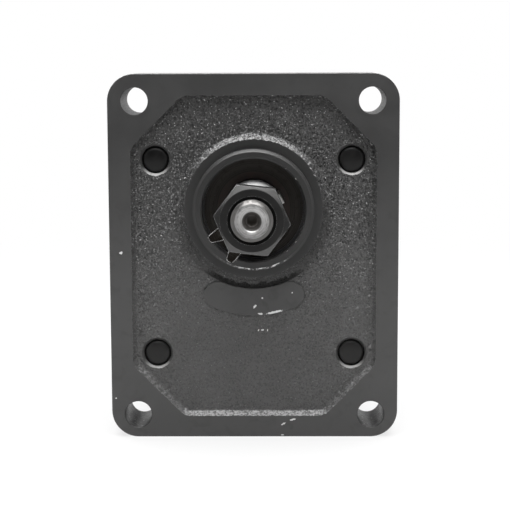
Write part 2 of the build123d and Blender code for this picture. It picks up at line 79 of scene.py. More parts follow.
def pick(piece, kind, test):
    """Opens a piece in edit mode with only the faces or edges selected that pass a test."""
    edit_all(piece, kind)
    bpy.ops.mesh.select_all(action="DESELECT")
    bpy.ops.object.mode_set(mode="OBJECT")
    for item in piece.data.polygons if kind == "FACE" else piece.data.edges:
        item.select = test(item)
    bpy.ops.object.mode_set(mode="EDIT")


def pick_faces(piece, test):
    """Picks the faces whose centre and normal pass a test."""
    pick(piece, "FACE", lambda face: test(face.center / MM, face.normal))


def pick_edges(piece, test):
    """Picks the edges whose two ends pass a test."""
    def ends_pass(edge):
        first, second = [piece.data.vertices[end].co / MM for end in edge.vertices]
        return test(first, second)
    pick(piece, "EDGE", ends_pass)


def tidy_mesh(piece):
    """Merges doubled points and turns every face outwards."""
    edit_all(piece)
    bpy.ops.mesh.remove_doubles(threshold=0.0001 * MM)
    bpy.ops.mesh.normals_make_consistent(inside=False)
    bpy.ops.object.mode_set(mode="OBJECT")
    return piece


# %% [markdown]
# ## Three ways to start a shape
# Turned parts start as a chain of points that is spun round the shaft axis, as a lathe would cut them.
# Plates start as a block whose edges are bevelled. Everything that is drilled or milled away is one
# more shape that is taken off with a Boolean modifier.

# %% Lathe, block and cutter
TURN_STEPS = 96


def point_chain(name, outline):
    """A chain of (y, radius) points joined by edges, drawn above the shaft axis."""
    select_only()
    bpy.ops.mesh.primitive_plane_add(size=MM)
    piece = bpy.context.object
    piece.name = piece.data.name = name
    edit_all(piece)
    bpy.ops.mesh.merge(type="CENTER")
    y, radius = outline[0]
    bpy.ops.transform.translate(value=mm(0, y, radius))
    for next_y, next_radius in outline[1:]:
        step = mm(0, next_y - y, next_radius - radius)
        bpy.ops.mesh.extrude_vertices_move(TRANSFORM_OT_translate={"value": step})
        y, radius = next_y, next_radius
    bpy.ops.object.mode_set(mode="OBJECT")
    return piece


def move(piece, x=0, y=0, z=0):
    """Shifts a mesh, so that its object stays at the origin."""
    piece.data.transform(Matrix.Translation(mm(x, y, z)))
    return piece


def turned(name, outline, x=0, z=0, steps=None, sweep=360):
    """A chain of points spun round the Y axis and closed."""
    piece = point_chain(name, outline)
    edit_all(piece)
    bpy.ops.mesh.spin(
        steps=steps or TURN_STEPS, angle=math.radians(sweep), center=(0, 0, 0), axis=(0, 1, 0)
    )
    tidy_mesh(piece)
    return move(piece, x, 0, z)


def rod(name, radius, y_from, y_to, steps=None, z=0):
    """A plain round bar along Y."""
    outline = [(y_from, 0), (y_from, radius), (y_to, radius), (y_to, 0)]
    return turned(name, outline, z=z, steps=steps)


def block(name, x_size, z_size, y_from, y_to, x=0, z=0):
    """A box between two distances along Y."""
    select_only()
    bpy.ops.mesh.primitive_cube_add(
        size=1, location=mm(x, (y_from + y_to) / 2, z), scale=mm(x_size, y_to - y_from, z_size)
    )
    piece = bpy.context.object
    piece.name = piece.data.name = name
    bpy.ops.object.transform_apply(location=True, rotation=True, scale=True)
    return piece


def apply_modifiers(piece):
    """Makes every modifier of a piece part of its mesh."""
    select_only(piece)
    for modifier in list(piece.modifiers):
        bpy.ops.object.modifier_apply(modifier=modifier.name)
    return piece


def combine(piece, tool, operation):
    """Adds, takes away or intersects a closed tool shape, then removes the tool."""
    modifier = piece.modifiers.new("combine", "BOOLEAN")
    modifier.operation, modifier.object, modifier.solver = operation, tool, "MANIFOLD"
    apply_modifiers(piece)
    bpy.data.objects.remove(tool)
    return piece


def joined(name, pieces):
    """Several shapes as one object."""
    select_only(*pieces)
    bpy.ops.object.join()
    piece = bpy.context.object
    piece.name = piece.data.name = name
    return piece


def copied(piece, name, x=0, z=0):
    """A copy with a mesh of its own, moved by x and z."""
    copy = piece.copy()
    copy.data = piece.data.copy()
    copy.name = copy.data.name = name
    bpy.context.scene.collection.objects.link(copy)
    return move(copy, x, 0, z)


def spread_out(piece, name, places):
    """Numbered copies at several x and z, in place of the piece itself."""
    copies = [copied(piece, f"{name}_{n}", x, z) for n, (x, z) in enumerate(places, 1)]
    bpy.data.objects.remove(piece)
    return copies


# %% [markdown]
# ## Edges for bevels
# Most edges that a workshop breaks lie in one of two ways on this pump: along the shaft, at a plate's
# corners, or in a flat face across the shaft, round its outline.

# %% Edge tests
NEAR = 0.01


def runs_along_shaft(first, second):
    """An edge that goes straight back from the mounting face."""
    return abs(first.x - second.x) < NEAR and abs(first.z - second.z) < NEAR


def lies_at(*levels):
    """A test for edges that lie in one of the planes across the shaft."""
    def test(first, second):
        return any(abs(first.y - y) < NEAR and abs(second.y - y) < NEAR for y in levels)
    return test


def bevel_edges(piece, test, offset, segments):
    """Bevels the edges that pass a test."""
    pick_edges(piece, test)
    bpy.ops.mesh.bevel(offset=offset * MM, segments=segments, affect="EDGES")
    bpy.ops.object.mode_set(mode="OBJECT")
    return piece


# %% [markdown]
# ## Finishing a piece
# A finished piece is shaded smooth up to a chosen angle, rides on its CAD body, and stands for the
# CAD node that it replaces. Flat faces that were milled stay flat, so their shading is even.

# %% Hand a piece over to the frame
def finish_piece(piece, body, slot, *nodes, angle=35):
    """Shades a piece, ties it to its body and hides the CAD nodes that it stands for."""
    select_only(piece)
    bpy.ops.object.shade_smooth_by_angle(angle=math.radians(angle))
    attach(piece, body)
    if nodes:
        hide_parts(*nodes)
    triangles = sum(len(face.vertices) - 2 for face in piece.data.polygons)
    print(piece.name, "triangles:", triangles)
    return piece


def dress(piece, *materials):
    """Gives a piece its list of materials."""
    piece.data.materials.clear()
    for material in materials:
        piece.data.materials.append(material)


# %% [markdown]
# ## The shape of the flange
# The real flange is poured in a sand mould. Its panel keeps the skin of the sand, while the rim, the
# round boss and the pilot ring are milled and turned flat afterwards. The same order works here: a
# smooth pattern is made first, a fine net is pressed on it and roughened, and that rough net is the
# tool that hollows the flat plate. Where the net crosses the milled face, the edge comes out ragged,
# just as it does when a cutter skims a casting.

# %% Sizes of the flange
PANEL_MIDDLE_Z = -15
FLANGE_WIDTH, FLANGE_HEIGHT, FLANGE_DEPTH = 87.8, 111.3, 21
FLANGE_CORNER_RADIUS = 8.2
PANEL_HALF_WIDTH, PANEL_HALF_HEIGHT, PANEL_DEPTH = 37.2, 49.1, 2.0
PANEL_CORNER_CUT, PANEL_CORNER_RADIUS = 16.2, 4.5
PANEL_WALL_SLOPE = 0.6
BOSS_RADIUS, BOSS_WALL_SLOPE = 21.0, 0.85
SKIN_ALLOWANCE = 1.2
BROKEN_EDGE = 0.22
MILLED, CAST, BORED = 0, 1, 2


def paint_faces(piece, index):
    """Sets one material place for all the faces of a piece."""
    for face in piece.data.polygons:
        face.material_index = index
    return piece


def three_finishes(piece, index):
    """Empty places for the milled, cast and bored finish, with all faces on one of them."""
    while len(piece.data.materials) < 3:
        piece.data.materials.append(None)
    return paint_faces(piece, index)


# %% [markdown]
# The plate starts as a plain block. Its four corners are rounded, and the edges of both faces are
# broken. Only the two faces are milled, and the outside keeps the skin of the casting.

# %% Flat plate with rounded corners
flange = block("flange_casting", FLANGE_WIDTH, FLANGE_HEIGHT, 0, FLANGE_DEPTH, z=PANEL_MIDDLE_Z)
bevel_edges(flange, runs_along_shaft, FLANGE_CORNER_RADIUS, 14)
bevel_edges(flange, lies_at(0, FLANGE_DEPTH), BROKEN_EDGE, 2)
three_finishes(flange, MILLED)
for face in flange.data.polygons:
    if abs(face.normal.y) < 0.9:
        face.material_index = CAST
print("plate faces:", len(flange.data.polygons))

# %% [markdown]
# The pattern is a block with an eight-sided hollow and a round boss in it. Its walls lean, as those of
# every casting pattern do, so that it can be drawn out of the sand.

# %% Pattern for the panel
def panel_hollow():
    """The eight-sided hollow, wider at the front than at its floor."""
    spread = PANEL_DEPTH * PANEL_WALL_SLOPE
    width, height = PANEL_HALF_WIDTH + spread, PANEL_HALF_HEIGHT + spread
    hollow = block("hollow", 2 * width, 2 * height, -PANEL_DEPTH, PANEL_DEPTH, z=PANEL_MIDDLE_Z)
    bevel_edges(hollow, runs_along_shaft, PANEL_CORNER_CUT, 1)
    bevel_edges(hollow, runs_along_shaft, PANEL_CORNER_RADIUS * math.tan(math.pi / 8), 5)
    pick_faces(hollow, lambda centre, normal: normal.y > 0.9)
    floor = (1 - 2 * spread / width, 1, 1 - 2 * spread / height)
    bpy.ops.transform.resize(value=floor, center_override=mm(0, 0, PANEL_MIDDLE_Z))
    bpy.ops.object.mode_set(mode="OBJECT")
    return hollow


pattern = block("panel_pattern", 92, 118, -SKIN_ALLOWANCE, 8, z=PANEL_MIDDLE_Z)
combine(pattern, panel_hollow(), "DIFFERENCE")
boss_top = BOSS_RADIUS - SKIN_ALLOWANCE * BOSS_WALL_SLOPE
boss_foot = BOSS_RADIUS + PANEL_DEPTH * BOSS_WALL_SLOPE
boss = turned("boss", [
    (-SKIN_ALLOWANCE, 0), (-SKIN_ALLOWANCE, boss_top), (PANEL_DEPTH, boss_foot),
    (6, boss_foot), (6, 0),
])
combine(pattern, boss, "UNION")

# %% [markdown]
# The net is a grid of small squares. Shrinkwrap presses it on the pattern, Smooth rounds the corners
# as moulding sand does, and Displace adds the grain. The grain is strongest at the top of the panel.

# %% Press a net on the pattern and roughen it
NET_CELL = 0.36
NET_WIDTH, NET_HEIGHT = 79.0, 103.0


def displace(piece, name, direction, size, strength, group="", kind="CLOUDS"):
    """Moves the points of a piece by a procedural texture."""
    texture = bpy.data.textures.new(name, kind)
    texture.noise_scale = size * MM
    modifier = piece.modifiers.new(name, "DISPLACE")
    modifier.texture, modifier.direction = texture, direction
    modifier.texture_coords, modifier.strength = "LOCAL", strength * MM
    modifier.mid_level, modifier.vertex_group = 0.5, group


select_only()
bpy.ops.mesh.primitive_grid_add(
    x_subdivisions=round(NET_WIDTH / NET_CELL), y_subdivisions=round(NET_HEIGHT / NET_CELL), size=1,
    location=mm(0, -5, PANEL_MIDDLE_Z), rotation=(math.radians(90), 0, 0),
)
net = bpy.context.object
net.name = net.data.name = "sand_skin"
net.scale = mm(NET_WIDTH, NET_HEIGHT, 1)
bpy.ops.object.transform_apply(location=True, rotation=True, scale=True)
press = net.modifiers.new("press", "SHRINKWRAP")
press.target, press.wrap_method, press.use_project_y = pattern, "PROJECT", True
press.use_positive_direction = press.use_negative_direction = True
apply_modifiers(net)
bpy.data.objects.remove(pattern)
round_off = net.modifiers.new("round_off", "SMOOTH")
round_off.use_x = round_off.use_z = False
round_off.factor, round_off.iterations = 0.5, 6
apply_modifiers(net)

grain_group = net.vertex_groups.new(name="grain")
for point in net.data.vertices:
    height = (point.co.z / MM - PANEL_MIDDLE_Z) / PANEL_HALF_HEIGHT
    grain_group.add([point.index], 0.78 + 0.22 * max(-1, min(1, height)), "REPLACE")
displace(net, "wander_x", "X", 0.9, 0.6)
displace(net, "wander_z", "Z", 1.0, 0.6)
displace(net, "grain_coarse", "Y", 0.8, 0.62, "grain")
displace(net, "grain_fine", "Y", 0.42, 0.4, "grain")
displace(net, "swell", "Y", 14, 0.2)
apply_modifiers(net)
print("net points:", len(net.data.vertices))

# %% [markdown]
# The rough net is still open. Its border is drawn out to the front, laid flat and filled, which makes
# it a closed tool. What this tool overlaps of the plate is taken away.

# %% Close the net into a tool and hollow the plate
edit_all(net, "EDGE")
bpy.ops.mesh.select_all(action="DESELECT")
bpy.ops.mesh.select_non_manifold()
bpy.ops.mesh.extrude_region_move(TRANSFORM_OT_translate={"value": mm(0, -4, 0)})
bpy.ops.transform.resize(value=(1, 0, 1))
bpy.ops.mesh.edge_face_add()
tidy_mesh(net)
three_finishes(net, CAST)
combine(flange, net, "DIFFERENCE")
print("flange faces with its sand skin:", len(flange.data.polygons))

# %% [markdown]
# Below the boss lies a smooth kidney-shaped pad, where a plate or label could go. It is made straight,
# as a strip with round ends and a broken front edge, and is then wrapped round the shaft axis. The
# pilot ring is turned from the solid.

# %% Smooth pad and pilot ring
PAD_INNER, PAD_OUTER, PAD_HALF_ANGLE = 24.6, 33.0, 22.5
PAD_FRONT = 1.5
PILOT_RADIUS, PILOT_FRONT = 18.25, -5.0


def wrapped_below(piece, radius):
    """Wraps a straight strip round the shaft axis, with its middle straight below it."""
    for point in piece.data.vertices:
        angle = point.co.x / (radius * MM)
        reach = radius * MM - point.co.z
        point.co.x, point.co.z = reach * math.sin(angle), -reach * math.cos(angle)
    return piece


pad_width, pad_middle = PAD_OUTER - PAD_INNER, (PAD_INNER + PAD_OUTER) / 2
pad_length = 2 * pad_middle * math.radians(PAD_HALF_ANGLE) + pad_width
pad = block("pad", pad_length, pad_width, PAD_FRONT, PANEL_DEPTH + 1.5)
bevel_edges(pad, runs_along_shaft, pad_width / 2 - 0.01, 12)
bevel_edges(pad, lies_at(PAD_FRONT), BROKEN_EDGE, 2)
pick_edges(pad, lambda first, second: abs(first.x - second.x) > 10)
bpy.ops.mesh.subdivide(number_cuts=24)
bpy.ops.object.mode_set(mode="OBJECT")
wrapped_below(pad, pad_middle)
three_finishes(tidy_mesh(pad), MILLED)
combine(flange, pad, "UNION")

pilot = turned("pilot", [
    (PILOT_FRONT, 0), (PILOT_FRONT, PILOT_RADIUS - 0.8), (-4.68, PILOT_RADIUS - 0.46),
    (-4.56, PILOT_RADIUS - 0.5), (-4.2, PILOT_RADIUS), (0.15, PILOT_RADIUS),
    (1.2, PILOT_RADIUS), (1.2, 0),
], steps=2 * TURN_STEPS)
three_finishes(pilot, MILLED)
combine(flange, pilot, "UNION")

# %% [markdown]
# All the holes are turned outlines too. They are joined to one tool, so the plate is cut only once:
# the stepped bore for the shaft seal, four mounting holes, the four holes where the long body screws
# come out, and the two dowel holes at the back.

# %% Bores and holes of the flange
HOLE_X, TOP_HOLE_Z, BOTTOM_HOLE_Z = 35.75, 32.5, -63.6
SCREW_X, TOP_SCREW_Z, BOTTOM_SCREW_Z = 29.75, 14.75, -44.75
MOUNTING_HOLE_RADIUS, SPOTFACE_RADIUS, SPOTFACE_DEPTH = 4.1, 8.0, 0.4
MOUTH_RADIUS, SEAL_BORE_RADIUS, RING_GROOVE_RADIUS, PASSAGE_RADIUS = 15.55, 15.0, 15.7, 10.0
SCREW_HOLE_RADIUS, DOWEL_HOLE_RADIUS, DOWEL_DEPTH, HOLE_EDGE = 4.2, 3.02, 6, 0.12
BEHIND_FLANGE = FLANGE_DEPTH + 1


def four_places(x, top_z, bottom_z):
    """Left and right places at two heights."""
    return [(side * x, z) for z in (top_z, bottom_z) for side in (-1, 1)]


def drill_out(piece, tools):
    """Takes several tools away from a piece at once and marks the new faces as bored."""
    return combine(piece, three_finishes(joined("tools", tools), BORED), "DIFFERENCE")


mounting_places = four_places(HOLE_X, TOP_HOLE_Z, BOTTOM_HOLE_Z)
screw_places = four_places(SCREW_X, TOP_SCREW_Z, BOTTOM_SCREW_Z)
dowel_places = [(-SCREW_X, PANEL_MIDDLE_Z), (SCREW_X, PANEL_MIDDLE_Z)]

seal_bore = turned("seal_bore", [
    (-6, 0), (-6, MOUTH_RADIUS + 1.4), (-4.6, MOUTH_RADIUS), (1, MOUTH_RADIUS), (1, SEAL_BORE_RADIUS),
    (2, SEAL_BORE_RADIUS), (2, RING_GROOVE_RADIUS), (3.3, RING_GROOVE_RADIUS), (3.3, SEAL_BORE_RADIUS),
    (11.3, SEAL_BORE_RADIUS), (11.3, PASSAGE_RADIUS), (BEHIND_FLANGE, PASSAGE_RADIUS), (BEHIND_FLANGE, 0),
], steps=2 * TURN_STEPS)
spotface_front = FLANGE_DEPTH - SPOTFACE_DEPTH
mounting_hole = turned("mounting_hole", [
    (-1, 0), (-1, MOUNTING_HOLE_RADIUS + 1 + HOLE_EDGE), (HOLE_EDGE, MOUNTING_HOLE_RADIUS),
    (spotface_front - HOLE_EDGE, MOUNTING_HOLE_RADIUS),
    (spotface_front, MOUNTING_HOLE_RADIUS + HOLE_EDGE), (spotface_front, SPOTFACE_RADIUS),
    (BEHIND_FLANGE, SPOTFACE_RADIUS), (BEHIND_FLANGE, 0),
], steps=64)
screw_hole = turned("screw_hole", [
    (-1, 0), (-1, 5.0), (1.76, 5.0), (2.7, SCREW_HOLE_RADIUS), (5.2, SCREW_HOLE_RADIUS), (5.2, 4.0),
    (BEHIND_FLANGE, 4.0), (BEHIND_FLANGE, 0),
], steps=64)
dowel_hole = rod("dowel_hole", DOWEL_HOLE_RADIUS, FLANGE_DEPTH - DOWEL_DEPTH, BEHIND_FLANGE, 32)
drills = [seal_bore]
for tool, places in (
    (mounting_hole, mounting_places), (screw_hole, screw_places), (dowel_hole, dowel_places),
):
    drills += spread_out(tool, "drill", places)
drill_out(flange, drills)
print("flange faces with its holes:", len(flange.data.polygons))

# %% [markdown]
# Shading by angle would break the rough skin into facets. So the skin is shaded softly all over, and
# one sharp line is drawn where a cutter met it.

# %% Shade the flange
def keep_skin_soft(piece):
    """Lets the sand skin shade smoothly, with a sharp line where a cutter met it."""
    pick(piece, "FACE", lambda face: face.material_index == CAST)
    bpy.ops.mesh.mark_sharp(clear=True)
    bpy.ops.mesh.region_to_loop()
    bpy.ops.mesh.mark_sharp()
    bpy.ops.object.mode_set(mode="OBJECT")


finish_piece(flange, "housing", "casting_paint", "front_flange", angle=20)
keep_skin_soft(flange)

# %% [markdown]
# ## Body and rear cover
# The body is an extruded length of light alloy, and its outline is what a tight band would draw round
# six discs: one at each screw and one round each gear. Convex Hull makes just that from six cylinders.

# %% Body outline from six discs
BODY_FRONT, BODY_REAR, COVER_REAR = 21.0, 81.0, 100.0
GEAR_MIDDLE, BODY_HALF_WIDTH = 51.0, 37.05
CHAMBER_RADIUS, ARCH_RADIUS, CORNER_RADIUS, PORT_DEPTH = 17.42, 26.02, 7.3, 14
SHAFT_HEIGHTS = (0, -30)


def banded(name, discs, y_from, y_to):
    """The block that a tight band round some (x, z, radius) discs would enclose."""
    cylinders = []
    for x, z, radius in discs:
        select_only()
        bpy.ops.mesh.primitive_cylinder_add(
            vertices=TURN_STEPS, radius=radius * MM, depth=(y_to - y_from) * MM,
            location=mm(x, (y_from + y_to) / 2, z), rotation=(math.radians(90), 0, 0),
        )
        cylinders.append(bpy.context.object)
    piece = joined(name, cylinders)
    bpy.ops.object.transform_apply(location=True, rotation=True, scale=True)
    edit_all(piece)
    bpy.ops.mesh.convex_hull()
    bpy.ops.mesh.select_all(action="SELECT")
    bpy.ops.mesh.dissolve_limited(angle_limit=math.radians(0.5))
    return tidy_mesh(piece)


def stadium(name, radius, y_from, y_to):
    """The band round two equal discs, one on each shaft."""
    return banded(name, [(0, z, radius) for z in SHAFT_HEIGHTS], y_from, y_to)


body_discs = [(x, z, CORNER_RADIUS) for x, z in screw_places]
body_discs += [(0, z, ARCH_RADIUS) for z in SHAFT_HEIGHTS]
body = banded("body_housing", body_discs, BODY_FRONT, BODY_REAR)
bevel_edges(body, lies_at(BODY_FRONT, BODY_REAR), 0.35, 2)
three_finishes(body, MILLED)
print("body faces:", len(body.data.polygons))

# %% [markdown]
# A thread is a three-cornered section carried along a helix by a Screw modifier. Added to a round core
# it is a bolt, and taken away together with that core it is a tapped hole.

# %% Threads
def thread_ridge(name, root, crest, pitch, y_from, turns, steps=24):
    """A helical ridge round the Y axis, right-handed, closed at both ends."""
    wide, narrow = 0.46 * pitch, 0.07 * pitch
    ridge = point_chain(name, [
        (y_from - wide, root), (y_from - narrow, crest), (y_from + narrow, crest),
        (y_from + wide, root), (y_from - wide, root),
    ])
    tidy_mesh(ridge)
    helix = ridge.modifiers.new("helix", "SCREW")
    helix.axis, helix.angle, helix.screw_offset = "Y", math.radians(360), pitch * MM
    helix.iterations, helix.steps, helix.render_steps = turns, steps, steps
    apply_modifiers(ridge)
    edit_all(ridge)
    bpy.ops.mesh.fill_holes(sides=0)
    return tidy_mesh(ridge)


def facing_sideways(piece, side):
    """Turns a shape made along Y so that it points to +X or -X at the middle of the ports."""
    piece.data.transform(Matrix.Rotation(math.radians(-90 * side), 4, "Z"))
    return move(piece, 0, GEAR_MIDDLE, PANEL_MIDDLE_Z)


def port_tools(side, radius, bolt_circle):
    """The tools for one side port: its stepped bore and four tapped holes."""
    face, shoulder, throat = BODY_HALF_WIDTH, BODY_HALF_WIDTH - PORT_DEPTH, radius - 1.5
    bore = turned("port_bore", [
        (2, 0), (2, throat), (shoulder, throat), (shoulder, radius), (face - 0.6, radius),
        (face + 1, radius + 1.6), (face + 1, 0),
    ])
    tapped = turned("tapped", [
        (face - 12, 0), (face - 10.8, 2.5), (face - 0.5, 2.5), (face + 1, 4.0), (face + 1, 0),
    ], steps=24)
    combine(tapped, thread_ridge("ridge", 2.4, 3.0, 1.0, face - 9.5, 9), "UNION")
    reach = bolt_circle / 2 * math.sqrt(0.5)
    corners = [(x, z) for x in (-reach, reach) for z in (-reach, reach)]
    return [facing_sideways(tool, side) for tool in [bore, *spread_out(tapped, "tapped", corners)]]


# %% [markdown]
# Two bores that overlap make the figure-eight chamber for the gears, and a groove for a seal runs round
# it at each end. The screw holes, dowel holes and ports are joined to one tool.

# %% Cut the chamber, ports, holes and seal grooves into the body
BEFORE_BODY, BEHIND_BODY = BODY_FRONT - 1, BODY_REAR + 1
for height in SHAFT_HEIGHTS:
    chamber = rod("chamber", CHAMBER_RADIUS, BEFORE_BODY, BEHIND_BODY, z=height)
    combine(body, three_finishes(chamber, BORED), "DIFFERENCE")
for y_from, y_to in ((BEFORE_BODY, 22.6), (79.4, BEHIND_BODY)):
    track = stadium("track", CHAMBER_RADIUS + 4.3, y_from, y_to)
    combine(track, stadium("core", CHAMBER_RADIUS + 1.9, y_from - 1, y_to + 1), "DIFFERENCE")
    combine(body, three_finishes(track, BORED), "DIFFERENCE")
tools = spread_out(rod("hole", SCREW_HOLE_RADIUS, BEFORE_BODY, BEHIND_BODY, 32), "hole", screw_places)
for y_from, y_to in ((BEFORE_BODY, BODY_FRONT + DOWEL_DEPTH), (BODY_REAR - DOWEL_DEPTH, BEHIND_BODY)):
    tools += spread_out(rod("hole", DOWEL_HOLE_RADIUS, y_from, y_to, 32), "hole", dowel_places)
tools += port_tools(-1, 10.0, 40) + port_tools(1, 7.5, 35)
drill_out(body, tools)
finish_piece(body, "housing", "body_paint", "pump_body", angle=30)

# %% [markdown]
# The rear cover is a second sand casting. Its blank is remeshed to even small squares and smoothed, so
# that the raised middle flows into the plate, and it is roughened inwards only, to keep its size. The
# joint face and the four screw seats are milled afterwards.

# %% Rear cover casting
cover = banded("rear_cover_casting", body_discs, BODY_REAR - 2, COVER_REAR)
bevel_edges(cover, lies_at(COVER_REAR), 2.5, 5)
raised = stadium("raised", 19.0, COVER_REAR - 3, COVER_REAR + 3)
bevel_edges(raised, lies_at(COVER_REAR + 3), 1.5, 4)
combine(cover, raised, "UNION")
cover.data.remesh_voxel_size = 0.75 * MM
select_only(cover)
bpy.ops.object.voxel_remesh()
soften = cover.modifiers.new("soften", "SMOOTH")
soften.factor, soften.iterations = 0.5, 5
displace(cover, "cover_grain", "NORMAL", 1.6, 0.3)
displace(cover, "cover_swell", "NORMAL", 9, 0.25)
for modifier in cover.modifiers:
    if modifier.type == "DISPLACE":
        modifier.mid_level = 1.0
apply_modifiers(cover)
three_finishes(cover, CAST)
mill = block("mill", 100, 120, BODY_REAR - 10, BODY_REAR, z=PANEL_MIDDLE_Z)
combine(cover, three_finishes(mill, MILLED), "DIFFERENCE")
SEAT_Y, SEAT_RADIUS = COVER_REAR - 0.8, 8.25
seat = turned("seat", [
    (BODY_REAR - 1, 0), (BODY_REAR - 1, SCREW_HOLE_RADIUS), (SEAT_Y, SCREW_HOLE_RADIUS),
    (SEAT_Y, SEAT_RADIUS), (COVER_REAR + 4, SEAT_RADIUS), (COVER_REAR + 4, 0),
], steps=64)
cover_dowel_hole = rod("hole", DOWEL_HOLE_RADIUS, BODY_REAR - 1, BODY_REAR + DOWEL_DEPTH, 32)
tools = spread_out(seat, "seat", screw_places) + spread_out(cover_dowel_hole, "hole", dowel_places)
drill_out(cover, tools)
finish_piece(cover, "housing", "casting_paint", "rear_cover", angle=25)
keep_skin_soft(cover)

# %% [markdown]
# ## Body screws
# Four long socket screws hold the sandwich together. They go in from the rear cover, and their domed
# ends show in the front panel as four black discs. One screw is turned, knurled and broached, and the
# other three are copies of it.

# %% One long socket screw
UNDER_HEAD, HEAD_REAR = 100.8, 108.8
screw = turned("screw", [
    (2.2, 0), (2.21, 0.9), (2.25, 1.7), (2.33, 2.4), (2.45, 3.0), (2.6, 3.4), (2.8, 3.6),
    (3.1, 3.66), (3.45, 4.0),
    (UNDER_HEAD - 0.3, 4.0), (UNDER_HEAD, 4.2), (UNDER_HEAD, 6.3), (UNDER_HEAD + 0.2, 6.5),
    (HEAD_REAR - 1.0, 6.5), (HEAD_REAR - 0.3, 6.2), (HEAD_REAR, 5.7), (HEAD_REAR, 0),
], steps=72)


def knurl_strip(centre, normal):
    """Every second long side face of the screw head."""
    outside = math.hypot(centre.x, centre.z) > 6.4 and abs(normal.y) < 0.1
    return outside and round(math.degrees(math.atan2(centre.x, centre.z)) / 5 - 0.5) % 2 == 0


pick_faces(screw, knurl_strip)
bpy.ops.mesh.inset(thickness=0.1 * MM, depth=-0.14 * MM, use_individual=True)
bpy.ops.object.mode_set(mode="OBJECT")
socket = turned("socket", [
    (HEAD_REAR - 4.4, 0), (HEAD_REAR - 4, 3.46), (HEAD_REAR + 1, 3.46), (HEAD_REAR + 1, 0)
], steps=6)
combine(screw, socket, "DIFFERENCE")
lead_in = turned("lead_in", [
    (HEAD_REAR - 0.45, 0), (HEAD_REAR - 0.45, 3.0), (HEAD_REAR + 0.55, 4.0), (HEAD_REAR + 0.55, 0)
], steps=48)
combine(screw, lead_in, "DIFFERENCE")

washer = turned("washer", [
    (SEAT_Y, 4.2), (SEAT_Y, 7.3), (SEAT_Y + 0.1, 7.4), (UNDER_HEAD - 0.1, 7.4), (UNDER_HEAD, 7.3),
    (UNDER_HEAD, 4.2), (SEAT_Y, 4.2),
], steps=64)
screws = spread_out(screw, "body_screw", screw_places)
washers = spread_out(washer, "screw_washer", screw_places)
for piece in screws:
    finish_piece(piece, "housing", "black_oxide_steel", "body_screws")
for piece in washers:
    finish_piece(piece, "housing", "zinc_steel", "screw_washers")

# %% [markdown]
# ## The drive end
# The gear and its shaft are one piece of steel, and their CAD shape is right up to the undercut. The
# mesh is copied, cut off there with Bisect, and a real thread with a centre-drilled end is joined on.

# %% Drive shaft with a cut thread
NUT_FRONT, NUT_REAR, SHAFT_END = -33.5, -27.0, -35.5
THREAD_RADIUS, THREAD_ROOT, THREAD_PITCH = 6.0, 5.08, 1.5
UNDERCUT_FRONT, UNDERCUT_RADIUS = -24.0, 5.2


def shaft_thread(name, extra=0):
    """The ridge of the shaft thread, a little larger where it cuts the nut."""
    return thread_ridge(
        name, THREAD_ROOT - 0.2, THREAD_RADIUS + extra, THREAD_PITCH, SHAFT_END - 1.5, 9, 48
    )


cad_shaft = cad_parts["drive_gear_shaft"]
shaft = cad_shaft.copy()
shaft.data = cad_shaft.data.copy()
shaft.name = shaft.data.name = "drive_shaft"
shaft.parent = None
bpy.context.scene.collection.objects.link(shaft)
tidy_mesh(shaft)
edit_all(shaft)
bpy.ops.mesh.bisect(
    plane_co=mm(0, -23, 0), plane_no=(0, 1, 0), use_fill=True, clear_inner=True, clear_outer=False
)
tidy_mesh(shaft)

thread_end = turned("thread_end", [
    (SHAFT_END - 1, 0), (SHAFT_END - 1, THREAD_ROOT), (UNDERCUT_FRONT, THREAD_ROOT),
    (UNDERCUT_FRONT, UNDERCUT_RADIUS - 0.05), (-22.5, UNDERCUT_RADIUS - 0.05), (-22.5, 0),
])
combine(thread_end, shaft_thread("shaft_thread"), "UNION")
envelope = turned("envelope", [
    (SHAFT_END, 0), (SHAFT_END, 4.85), (SHAFT_END + 0.06, 4.97), (SHAFT_END + 1.05, THREAD_RADIUS),
    (UNDERCUT_FRONT - 0.4, THREAD_RADIUS), (UNDERCUT_FRONT, UNDERCUT_RADIUS - 0.04),
    (-22, UNDERCUT_RADIUS - 0.04), (-22, 0),
])
combine(thread_end, envelope, "INTERSECT")
centre_drill = turned("centre_drill", [
    (SHAFT_END - 0.5, 0), (SHAFT_END - 0.5, 3.45), (SHAFT_END + 0.1, 2.85), (SHAFT_END + 0.2, 2.7),
    (SHAFT_END + 2.08, 1.6), (SHAFT_END + 8, 1.6), (SHAFT_END + 8.9, 0),
], steps=64)
combine(thread_end, centre_drill, "DIFFERENCE")
combine(shaft, thread_end, "UNION")
finish_piece(shaft, "drive", "turned_steel", "drive_gear_shaft", angle=28)

# %% [markdown]
# The nut starts as a chain spun in six steps, which makes a hexagon. It is intersected with a turned
# shape that has the two 30-degree chamfers, then bored and tapped with the same ridge as the shaft.

